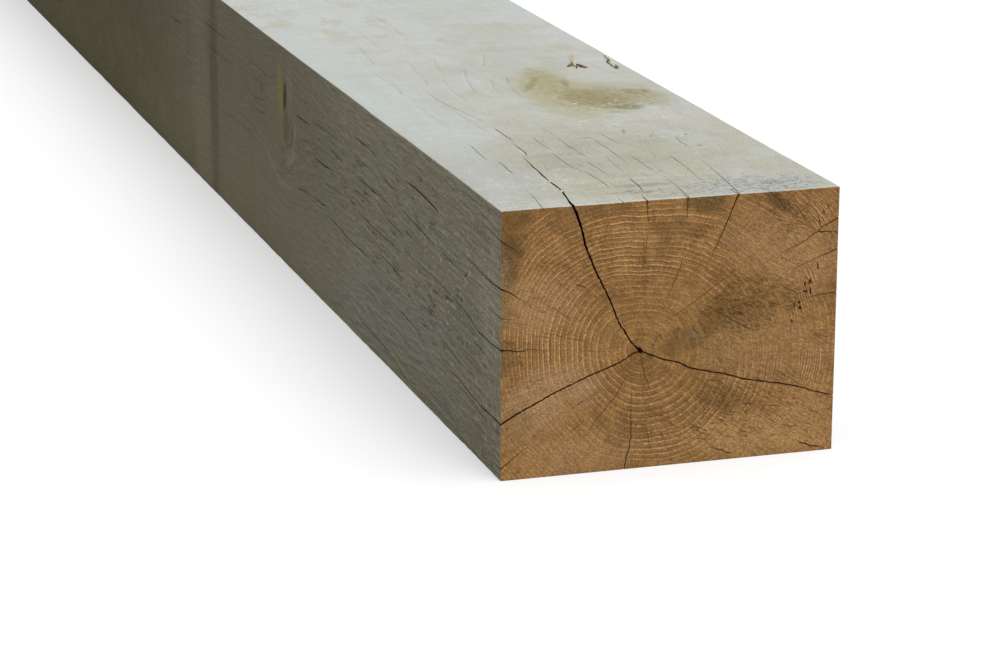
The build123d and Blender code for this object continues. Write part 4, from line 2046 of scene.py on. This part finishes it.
# Shallow grooves along the grain of the left face
LEFT_GROOVES = (
    Check(Face.LEFT, ((301, 42), (325, 41.6)), 1.6, 0.8),
    Check(Face.LEFT, ((300, 67), (322, 66.2), (350, 66.6)), 1.6, 0.8),
    Check(Face.LEFT, ((390, 40), (430, 40.6), (470, 41.6)), 1.8, 0.8),
    Check(Face.LEFT, ((476, 31), (496, 31.8)), 1.6, 0.8),
    Check(Face.LEFT, ((477, 61), (492, 62), (506, 64)), 1.8, 0.8),
    Check(Face.LEFT, ((362, 77), (384, 79), (410, 80), (440, 82)), 1.6, 0.8),
    Check(Face.LEFT, ((452, 99.6), (480, 100.6), (510, 104)), 2.2, 0.8),
    Check(Face.LEFT, ((516, 74), (526, 88), (544, 99), (566, 106), (592, 106)), 3.4, 0.7),
    Check(Face.LEFT, ((522, 74), (546, 80), (572, 88)), 2.8, 0.6),
    Check(Face.LEFT, ((614, 55), (640, 60), (664, 61), (700, 58)), 2.2, 0.8),
    Check(Face.LEFT, ((618, 66), (640, 70), (664, 69)), 2.0, 0.7),
    Check(Face.LEFT, ((600, 36), (640, 34), (700, 34)), 2.2, 0.7),
    Check(Face.LEFT, ((640, 96), (700, 94), (760, 95)), 2.2, 0.7),
    Check(Face.LEFT, ((720, 50), (780, 51), (840, 49)), 2.2, 0.7),
)


def chance_checks(
    faces: Sequence[Face],
    count: int,
    start: float,
    baulk: Baulk,
    seed: int,
) -> tuple[Check, ...]:
    """Scatters grain checks over stretches that the photograph doesn't show, or shows from far off.

    Args:
        faces: The faces to open.
        count: How many checks each face gets.
        start: How far along the beam the first may lie.
        baulk: The beam's sizes.
        seed: Which scatter it is.

    Returns:
        The checks, no two of which touch.
    """
    chance = np.random.default_rng(seed)
    made = []
    for face in faces:
        size = baulk.width if face.lies_flat else baulk.depth
        rows = np.linspace(14, size - 14, count)
        chance.shuffle(rows)
        for row in rows:
            length = chance.uniform(45, 170)
            at = chance.uniform(start, baulk.length - 160 - length)
            slope = chance.normal(0, 0.01) * length
            line = ((at, row), (at + length / 2, row + slope), (at + length, row + slope * 1.4))
            made.append(Check(face, line, chance.uniform(0.45, 0.95), chance.uniform(4, 7)))
    return tuple(made)


# Strands that bridge the crack, and two tufts that a tool tore up near the right arris
TOP_SLIVERS = (
    Sliver(((36.0, 50.8, -0.1, 0.6), (39, 52.0, 0.1, 2.3), (43.0, 53.8, -0.1, 0.6)), 0.9, True),
    Sliver(((62.0, 51.4, -0.1, 0.6), (66, 53.0, 0.1, 2.3), (70.0, 55.0, -0.2, 0.5)), 0.9, True),
    Sliver(((44, 50.9, -0.4, 0.4), (47, 52.4, -0.4, 0.8), (50, 54.2, -0.5, 0.3)), 0.5, True),
    Sliver(((411, 181.4, 0.1, 0.9), (413, 184.0, 0.7, 2.9), (417, 187.4, 1.4, 1.8)), 1.3),
    Sliver(((404, 195.0, 0.1, 0.9), (407, 192.6, 0.7, 2.9), (412, 190.0, 1.4, 1.8)), 1.3),
    Sliver(((403, 186.4, 0.0, 0.4), (408, 188.0, 0.5, 1.2), (414, 189.4, 1.4, 1.0)), 0.8),
    Sliver(
        (
            (409, 188.0, 0.3, 1.4), (414, 188.8, 1.2, 3.4), (421, 190.4, 2.2, 2.6),
            (433, 193.4, 3.2, 1.0), (453, 199.4, 4.2, 0.3),
        ),
        1.0, True,
    ),
    Sliver(((409, 192.8, 0.3, 0.8), (414, 193.0, 1.2, 1.8), (420, 194.2, 1.5, 0.6)), 0.8, True),
    Sliver(((394, 214.4, 0.1, 0.6), (398, 216.0, 0.8, 2.6), (403, 217.4, 0.9, 1.0)), 1.1),
    Sliver(((396, 217.8, 0.1, 0.5), (400, 217.6, 0.9, 1.6), (406, 217.4, 0.8, 0.5)), 0.8, True),
    Sliver(((399, 215.0, 0.4, 0.8), (408, 216.0, 1.2, 2.2), (418, 216.6, 0.8, 1.0)), 0.6, True),
    Sliver(((416, 215.4, 0.2, 0.6), (420, 217.0, 1.1, 2.6), (425, 219.0, 1.1, 1.0)), 1.1),
    Sliver(((421, 219.4, 0.1, 0.6), (427, 220.4, 1.0, 1.9), (434, 221.4, 0.8, 0.6)), 0.8, True),
    Sliver(((426, 219.6, 0.6, 0.8), (436, 221.4, 1.3, 1.3), (446, 222.6, 0.8, 0.3)), 0.5, True),
)

# Marks of the near end, as (from the left, from the top)
NEAR_END_STAINS = (
    Stain((32, 124), (34, 22), 0.5, -25, tone=(0.34, 0.205, 0.108)),
    Stain((50, 162), (44, 14), 0.35, 0, tone=(0.33, 0.19, 0.088)),
    Stain((46, 133), (9, 8), 0.5, 0, tone=(0.24, 0.115, 0.032)),
    Stain((146, 84), (58, 24), 0.4, -16, 1.2, tone=(0.192, 0.107, 0.030)),
    Stain((182, 104), (50, 26), 0.35, 0, 1.2, tone=(0.34, 0.195, 0.080)),
    Stain((188, 36), (44, 24), 0.45, 20, 1.2, tone=(0.33, 0.188, 0.085)),
    Stain((178, 160), (60, 16), 0.6, 4, 1.2, tone=(0.365, 0.208, 0.080)),
    Stain((204, 140), (24, 16), 0.5, 0, 1.2, tone=(0.36, 0.198, 0.072)),
    Stain((24, 62), (28, 20), 0.45, 0, 1.2, tone=(0.345, 0.200, 0.092)),
    Stain((198, 56), (20, 16), 0.4, 0, 1.2, tone=(0.33, 0.182, 0.072)),
    Stain((8, 142), (13, 14), 0.6, 0, 1.2, tone=(0.20, 0.115, 0.045)),
    Stain((122, 58), (16, 14), 0.35, 0, 1.3, tone=(0.20, 0.108, 0.032)),
    Stain((94, 142), (32, 9), 0.35, -4, 1.3, tone=(0.145, 0.078, 0.022)),
    Stain((117, 94), (17, 11), 0.75, -10, 1.5, tone=(0.120, 0.066, 0.018), broken=0.45),
    Stain((139, 79), (15, 9), 0.6, -25, 1.5, tone=(0.110, 0.060, 0.015), broken=0.5),
    Stain((170, 72), (30, 15), 0.5, -10, 1.6, tone=(0.12, 0.064, 0.016), broken=0.95),
    Stain((127, 90.5), (5, 3.5), 0.45, 0, 1.0, tone=(0.150, 0.115, 0.058)),
    Stain((7, 15), (15, 22), 0.85, 12, 1.3, tone=(0.118, 0.062, 0.014), broken=0.3),
    Stain((4, 32), (9, 16), 0.85, 10, 1.4, tone=(0.085, 0.050, 0.016), broken=0.4),
    Stain((2, 56), (8, 18), 0.6, 0, 1.4, tone=(0.14, 0.086, 0.034), broken=0.3),
    Stain((2, 39), (3.5, 12), 0.45, 0, 1.2, tone=(0.26, 0.20, 0.13), broken=0.9),
    Stain((3, 97), (8, 14), 0.6, 0, 1.4, tone=(0.12, 0.066, 0.022)),
    Stain((135, 5), (18, 7), 0.75, 0, 1.4, tone=(0.10, 0.058, 0.016)),
    Stain((117, 20), (22, 9), 0.6, 6, 1.4, tone=(0.12, 0.064, 0.019)),
    Stain((106, 31), (13, 9), 0.5, 0, 1.4, tone=(0.15, 0.084, 0.025)),
    Stain((60, 3), (30, 6), 0.5, 0, 1.4, tone=(0.12, 0.065, 0.02)),
    Stain((40, 12), (13, 7), 0.45, 0, 1.4, tone=(0.14, 0.074, 0.022)),
    Stain((74, 60), (6, 8), 0.45, 30, 1.5, tone=(0.12, 0.064, 0.019)),
    Stain((51, 82), (6, 4), 0.5, 0, 1.5, tone=(0.14, 0.095, 0.045)),
    Stain((71, 85), (9, 6), 0.5, 20, 1.5, tone=(0.12, 0.07, 0.024)),
    Stain((142, 133), (20, 9), 0.45, 8, 1.4, tone=(0.125, 0.068, 0.020)),
    Stain((78, 154), (12, 6), 0.5, 0, 1.4, tone=(0.135, 0.072, 0.022)),
    Stain((186, 8), (14, 4), 0.7, 42, 1.4, tone=(0.095, 0.052, 0.015)),
    Stain((204, 64), (4, 15), 0.4, 16, 1.4, tone=(0.15, 0.062, 0.018)),
    Stain((93, 104), (9, 5), 0.5, 0, 1.6, tone=(0.14, 0.066, 0.020)),
)
NEAR_END_RINGS = (
    Zone((32, 84), (34, 40), 0.7),
    Zone((26, 32), (22, 26), 0.55),
    Zone((95, 24), (52, 30), 0.62),
    Zone((150, 40), (22, 40), 0.25),
    Zone((112, 150), (44, 24), 0.66),
    Zone((80, 118), (30, 18), 0.3),
    Zone((152, 130), (26, 16), 0.3),
    Zone((36, 150), (40, 18), 0.2),
)
NEAR_END_CRISP = (
    Zone((205, 65), (5, 19), 0.8, 16),
    Zone((194, 84), (6, 9), 0.4, 16),
    Zone((213, 15), (9, 13), 0.75, -10),
    Zone((180, 113), (10, 12), 0.45),
    Zone((209, 117), (9, 13), 0.7, 6),
    Zone((196, 150), (12, 8), 0.25),
    Zone((24, 92), (12, 16), 0.3),
)
NEAR_END_TEARS = (
    Zone((172, 71), (30, 18), 0.65, -10),
    Zone((146, 84), (30, 16), 0.3, -14),
    Zone((176, 142), (46, 26), 0.34, 10),
    Zone((122, 145), (40, 20), 0.25),
    Zone((190, 14), (26, 14), 0.4, 40),
    Zone((50, 45), (50, 30), 0.16),
)

FAR_END_STAINS = (
    Stain((60, 60), (60, 50), 0.5, 20, tone=(0.32, 0.19, 0.09)),
    Stain((40, 26), (38, 22), 0.6, 20, 1.4, tone=(0.12, 0.066, 0.022)),
    Stain((168, 138), (46, 22), 0.6, -15, 1.4, tone=(0.13, 0.075, 0.027)),
    Stain((220, 60), (10, 34), 0.7, 0, 1.4, tone=(0.11, 0.075, 0.035)),
)
FAR_END_RINGS = (
    Zone((118, 30), (70, 34), 0.6),
    Zone((60, 130), (44, 34), 0.6),
    Zone((190, 90), (30, 50), 0.4),
)
FAR_END_CRISP = (Zone((30, 60), (14, 16), 0.6), Zone((196, 140), (12, 16), 0.6))
FAR_END_TEARS = (Zone((60, 60), (46, 30), 0.5, 12), Zone((170, 130), (40, 26), 0.5, 12))

# Marks of the top face, as (along, from the left)
TOP_STAINS = (
    Stain((120, 105), (90, 80), 0.5, 0, 1.0, tone=(0.35, 0.342, 0.268)),
    Stain((96, 22), (110, 30), 0.55, 0, 1.0, tone=(0.385, 0.400, 0.375)),
    Stain((380, 18), (240, 34), 0.6, 0, 1.0, tone=(0.46, 0.505, 0.50)),
    Stain((420, 150), (150, 56), 0.45, 0, 1.0, tone=(0.385, 0.388, 0.330)),
    Stain((660, 160), (200, 60), 0.35, 0, 1.0, tone=(0.41, 0.425, 0.38)),
    Stain((112, 92), (16, 60), 0.5, 4, 1.3, tone=(0.26, 0.25, 0.19), broken=0.6),
    Stain((137, 88), (8, 26), 0.45, 0, 1.3, tone=(0.24, 0.235, 0.185), broken=0.6),
    Stain((165, 140), (14, 60), 0.45, 0, 1.3, tone=(0.25, 0.24, 0.19), broken=0.8),
    # A pale line along the near arris of the top: worn fuzz, and a painted highlight where the arris catches
    # the light
    Stain((1.2, 112), (2.6, 170), 0.5, 0, 0.5, tone=(0.52, 0.51, 0.45)),
    Stain((152, 100), (9, 7), 0.5, 0, 1.3, tone=(0.33, 0.28, 0.18)),
    Stain((62, 96), (10, 60), 0.35, 0, 1.3, tone=(0.43, 0.39, 0.28)),
    Stain((245, 36), (70, 34), 0.6, 0, 1.0, tone=(0.445, 0.465, 0.445)),
    Stain((232, 200), (34, 30), 0.5, 0, 1.0, tone=(0.455, 0.455, 0.42)),
    Stain((60, 60), (2.4, 110), 0.45, 0, 0.4, tone=(0.48, 0.46, 0.39)),
    Stain((22, 178), (28, 50), 0.5, 0, 1.0, tone=(0.40, 0.415, 0.405)),
    Stain((23, 98), (5, 20), 0.85, 0, 1.3, tone=(0.13, 0.132, 0.11), broken=0.9),
    Stain((40, 106), (5, 20), 0.6, 0, 1.2, tone=(0.19, 0.195, 0.145), broken=0.35),
    Stain((10, 108), (7, 20), 0.6, 0, 1.4, tone=(0.17, 0.175, 0.165), broken=1.0),
    Stain((20, 176), (24, 48), 0.8, 0, 1.3, tone=(0.15, 0.16, 0.15), broken=1.0),
    Stain((24, 190), (6, 9), 0.85, 0, 1.4, tone=(0.11, 0.115, 0.105), broken=0.8),
    Stain((180, 118), (2.4, 7), 0.5, 0, 1.2, tone=(0.22, 0.22, 0.18)),
    Stain((192, 148), (8, 1.6), 0.6, 18, 1.2, tone=(0.18, 0.175, 0.140)),
    Stain((136, 182), (3, 2.4), 0.7, 0, 1.2, tone=(0.19, 0.185, 0.145)),
    Stain((170, 185), (3, 2), 0.6, 0, 1.2, tone=(0.19, 0.185, 0.15)),
    Stain((8, 40), (12, 60), 0.3, 0, 1.0, tone=(0.47, 0.48, 0.46)),
    Stain((420, 120), (16, 130), 0.3, 2, 1.2, tone=(0.39, 0.395, 0.33)),
    Stain((470, 60), (90, 60), 0.35, 0, 1.2, tone=(0.44, 0.45, 0.41)),
    # The knot: a tan crescent, browner towards the right, with a pale middle
    Stain((322, 158), (84, 42), 0.9, 8, 0.9, tone=(0.357, 0.333, 0.208)),
    Stain((362, 146), (46, 16), 0.6, 16, 1.2, tone=(0.33, 0.302, 0.168)),
    Stain((300, 166), (32, 28), 0.95, 0, 1.4, tone=(0.255, 0.213, 0.100), broken=0.3),
    Stain((290, 197), (28, 20), 0.8, 0, 1.4, tone=(0.32, 0.297, 0.180), broken=0.3),
    Stain((264, 178), (8, 12), 0.9, 0, 1.5, tone=(0.14, 0.142, 0.078), broken=0.45),
    Stain((252, 166), (4, 9), 0.5, 0, 1.5, tone=(0.23, 0.225, 0.175)),
    Stain((313, 198), (10, 13), 0.75, 0, 1.5, tone=(0.20, 0.135, 0.055), broken=0.7),
    Stain((360, 137), (26, 3), 0.7, 26, 1.2, tone=(0.235, 0.235, 0.118)),
    Stain((358, 162), (18, 3), 0.7, 14, 1.2, tone=(0.24, 0.205, 0.10)),
    Stain((292, 141), (14, 4), 0.5, -20, 1.2, tone=(0.46, 0.42, 0.29)),
    Stain((386, 196), (42, 30), 0.95, 12, 0.9, tone=(0.435, 0.437, 0.390)),
)
TOP_DASHES = (
    Zone((100, 100), (110, 80), 0.4),
    Zone((30, 180), (30, 50), 0.3),
    Zone((240, 90), (80, 40), 0.2),
)
TOP_FLECKS = (
    Zone((150, 50), (110, 30), 0.3),
    Zone((232, 150), (30, 44), 0.5),
    Zone((276, 168), (26, 30), 0.6),
    Zone((315, 140), (40, 12), 0.4),
    Zone((225, 195), (22, 26), 0.5),
    Zone((60, 110), (60, 90), 0.15),
)
TOP_BURRS = (Zone((296, 170), (42, 38), 0.85), Zone((355, 150), (50, 16), 0.35))

# Marks of the left face, as (along, from the top)
LEFT_STAINS = (
    Stain((640, 85), (280, 160), 0.6, 0, 0.5, tone=(0.168, 0.144, 0.094)),
    Stain((22, 62), (26, 44), 0.6, 0, 1.2, tone=(0.335, 0.300, 0.218)),
    Stain((48, 38), (32, 22), 0.5, 0, 1.3, tone=(0.275, 0.225, 0.155)),
    Stain((34, 26), (12, 8), 0.5, 0, 1.3, tone=(0.24, 0.18, 0.115)),
    Stain((40, 152), (40, 16), 0.5, 0, 1.3, tone=(0.245, 0.195, 0.132)),
    Stain((70, 100), (40, 30), 0.35, 0, 1.3, tone=(0.215, 0.200, 0.150)),
    Stain((190, 132), (66, 26), 0.6, 4, 1.2, tone=(0.262, 0.250, 0.215)),
    Stain((300, 140), (90, 30), 0.6, 6, 1.2, tone=(0.232, 0.216, 0.182)),
    Stain((300, 72), (110, 26), 0.35, 0, 1.3, tone=(0.235, 0.205, 0.150)),
    Stain((470, 150), (110, 30), 0.3, 0, 1.2, tone=(0.195, 0.176, 0.132)),
    Stain((805, 90), (17, 130), 0.7, 0, 0.6, tone=(0.105, 0.090, 0.056)),
    Stain((862, 90), (34, 130), 0.6, 0, 0.8, tone=(0.215, 0.182, 0.115)),
    Stain((700, 150), (120, 40), 0.3, 0, 1.2, tone=(0.185, 0.165, 0.100)),
    # The knot: brown wood round an open slit, with a strip of yellower wood beyond it
    Stain((556, 60), (36, 56), 0.6, 0, 0.9, tone=(0.205, 0.172, 0.108)),
    Stain((540, 30), (9, 20), 0.7, 4, 0.9, tone=(0.250, 0.202, 0.128)),
    Stain((552, 65), (11, 13), 0.7, 0, 1.1, tone=(0.140, 0.115, 0.044)),
    Stain((555, 41), (6, 13), 0.85, -6, 0.9, tone=(0.085, 0.064, 0.022)),
    Stain((570, 38), (9, 24), 1.0, -3, 0.9, tone=(0.255, 0.215, 0.060)),
    Stain((540, 88), (22, 3.4), 0.7, 24, 0.8, tone=(0.275, 0.235, 0.170)),
    Stain((526, 70), (3, 20), 0.55, -18, 0.8, tone=(0.265, 0.225, 0.160)),
    Stain((596, 104), (24, 3), 0.55, -22, 0.8, tone=(0.260, 0.222, 0.160)),
    Stain((558, 112), (26, 3.4), 0.6, 6, 0.8, tone=(0.255, 0.218, 0.156)),
    Stain((562, 95), (14, 4), 0.5, 6, 0.8, tone=(0.140, 0.116, 0.062)),
    Stain((600, 50), (16, 5), 0.5, 30, 0.8, tone=(0.230, 0.200, 0.140)),
    Stain((632, 48), (7, 9), 0.5, 0, 1.0, tone=(0.130, 0.108, 0.062)),
)
LEFT_DASHES = (
    Zone((215, 70), (170, 60), 1.0),
    Zone((110, 110), (90, 40), 0.8),
    Zone((260, 130), (140, 40), 0.5),
    Zone((420, 75), (130, 60), 0.75),
    Zone((640, 75), (120, 60), 0.5),
)
LEFT_FLECKS = (Zone((60, 90), (120, 100), 0.42), Zone((180, 60), (120, 60), 0.3))


def main() -> None:
    """Builds the beam and its studio."""
    logging.basicConfig(level=logging.INFO, format="%(name)s: %(message)s")
    baulk = Baulk.from_frame()
    wood = Heartwood(NEAR_PITH, FAR_PITH, baulk.length, baulk.depth)
    near_end = CrosscutEnd(
        "near_end_grain", wood, baulk,
        stains=NEAR_END_STAINS, clear_rings=NEAR_END_RINGS, crisp_rings=NEAR_END_CRISP,
        torn_zones=NEAR_END_TEARS,
    )
    far_end = CrosscutEnd(
        "far_end_grain", wood, baulk,
        stains=FAR_END_STAINS, clear_rings=FAR_END_RINGS, crisp_rings=FAR_END_CRISP,
        torn_zones=FAR_END_TEARS,
    )
    top = WeatheredFace(
        "weathered_top", Face.TOP, wood, baulk,
        near_tone=(0.40, 0.39, 0.325), far_tone=(0.465, 0.478, 0.45),
        cool_tone=(0.455, 0.475, 0.47), warm_tone=(0.385, 0.365, 0.28),
        streak_and_shade_tone=(0.20, 0.195, 0.155), fleck_tone=(0.60, 0.575, 0.48),
        lean=-12.0, streaks=0.15, figure=0.1, saw_marks=0.4, fuzz=0.55, chatter_relief_and_shade=0.22, blotches=0.5,
        knots=(Knot((330, 165), (95, 44), 0.85),),
        stains=TOP_STAINS, dash_zones=TOP_DASHES, fleck_zones=TOP_FLECKS, burrs=TOP_BURRS,
        seed=1.0,
    )
    left = WeatheredFace(
        "weathered_left", Face.LEFT, wood, baulk,
        near_tone=(0.262, 0.242, 0.168), far_tone=(0.114, 0.096, 0.047),
        cool_tone=(0.232, 0.222, 0.182), warm_tone=(0.25, 0.216, 0.143),
        streak_and_shade_tone=(0.085, 0.075, 0.052), fleck_tone=(0.44, 0.41, 0.33),
        fade=(250.0, 1300.0), lean=9.0, streaks=0.5, figure=0.1, saw_marks=0.8, fuzz=1.2,
        chatter_relief_and_shade=1.6, blotches=0.5, calm=0.85, low_light=0.30,
        knots=(Knot((560, 62), (66, 44), 0.55),),
        stains=LEFT_STAINS, dash_zones=LEFT_DASHES, fleck_zones=LEFT_FLECKS,
        seed=21.0,
    )
    right = WeatheredFace(
        "weathered_right", Face.RIGHT, wood, baulk,
        near_tone=(0.29, 0.27, 0.21), far_tone=(0.30, 0.29, 0.235),
        cool_tone=(0.275, 0.275, 0.25), warm_tone=(0.28, 0.235, 0.165),
        streak_and_shade_tone=(0.11, 0.098, 0.07), fleck_tone=(0.50, 0.47, 0.38),
        lean=7.0, streaks=0.5, figure=0.4, saw_marks=0.6, fuzz=0.9, chatter_relief_and_shade=1.0, blotches=0.6,
        dash_zones=(Zone((300, 90), (500, 90), 0.4), Zone((1700, 90), (600, 90), 0.4)),
        seed=41.0,
    )
    under = WeatheredFace(
        "weathered_under", Face.UNDER, wood, baulk,
        near_tone=(0.27, 0.235, 0.17), far_tone=(0.25, 0.22, 0.16),
        cool_tone=(0.235, 0.225, 0.19), warm_tone=(0.25, 0.195, 0.13),
        streak_and_shade_tone=(0.10, 0.085, 0.058), fleck_tone=(0.42, 0.37, 0.28),
        lean=-6.0, streaks=0.5, figure=0.4, saw_marks=0.6, fuzz=0.8, chatter_relief_and_shade=0.8, blotches=0.7,
        dash_zones=(Zone((1200, 110), (1300, 120), 0.3),),
        seed=61.0,
    )
    timber = Timber(
        baulk, wood,
        shakes=NEAR_SHAKES + FAR_SHAKES,
        pith_holes=(PithHole(Face.NEAR, NEAR_PITH), PithHole(Face.FAR, FAR_PITH)),
        end_checks=NEAR_END_CHECKS + FAR_END_CHECKS,
        top_grooves=TOP_GROOVES,
        left_grooves=LEFT_GROOVES,
        face_checks=TOP_CHECKS + LEFT_CHECKS
        + chance_checks((Face.RIGHT, Face.UNDER), 12, 160.0, baulk, 5)
        + chance_checks((Face.TOP, Face.LEFT), 9, 640.0, baulk, 8),
        finishes={
            Face.TOP: top.material(), Face.LEFT: left.material(), Face.RIGHT: right.material(),
            Face.UNDER: under.material(), Face.NEAR: near_end.material(), Face.FAR: far_end.material(),
        },
        # Each split wall's tones are its wood darkened with painted shade
        walls={
            Wall.HEART: SplitWallPaintedShade(Wall.HEART.value, (0.085, 0.019, 0.003), (0.125, 0.033, 0.007)).material(),
            Wall.END: SplitWallPaintedShade(Wall.END.value, (0.115, 0.036, 0.006), (0.19, 0.075, 0.020)).material(),
            Wall.FACE: SplitWallPaintedShade(Wall.FACE.value, (0.10, 0.082, 0.056), (0.15, 0.128, 0.092)).material(),
        },
    )
    made = timber.build()
    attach(made, "root")
    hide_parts(NODE)
    log.info("timber: %d vertices, %d faces", len(made.data.vertices), len(made.data.polygons))
    fibres = TornFibres(baulk, TOP_SLIVERS).build()
    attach(fibres, "root")
    log.info("torn fibres: %d faces", len(fibres.data.polygons))
    Studio().build()


if __name__ == "__main__":
    main()
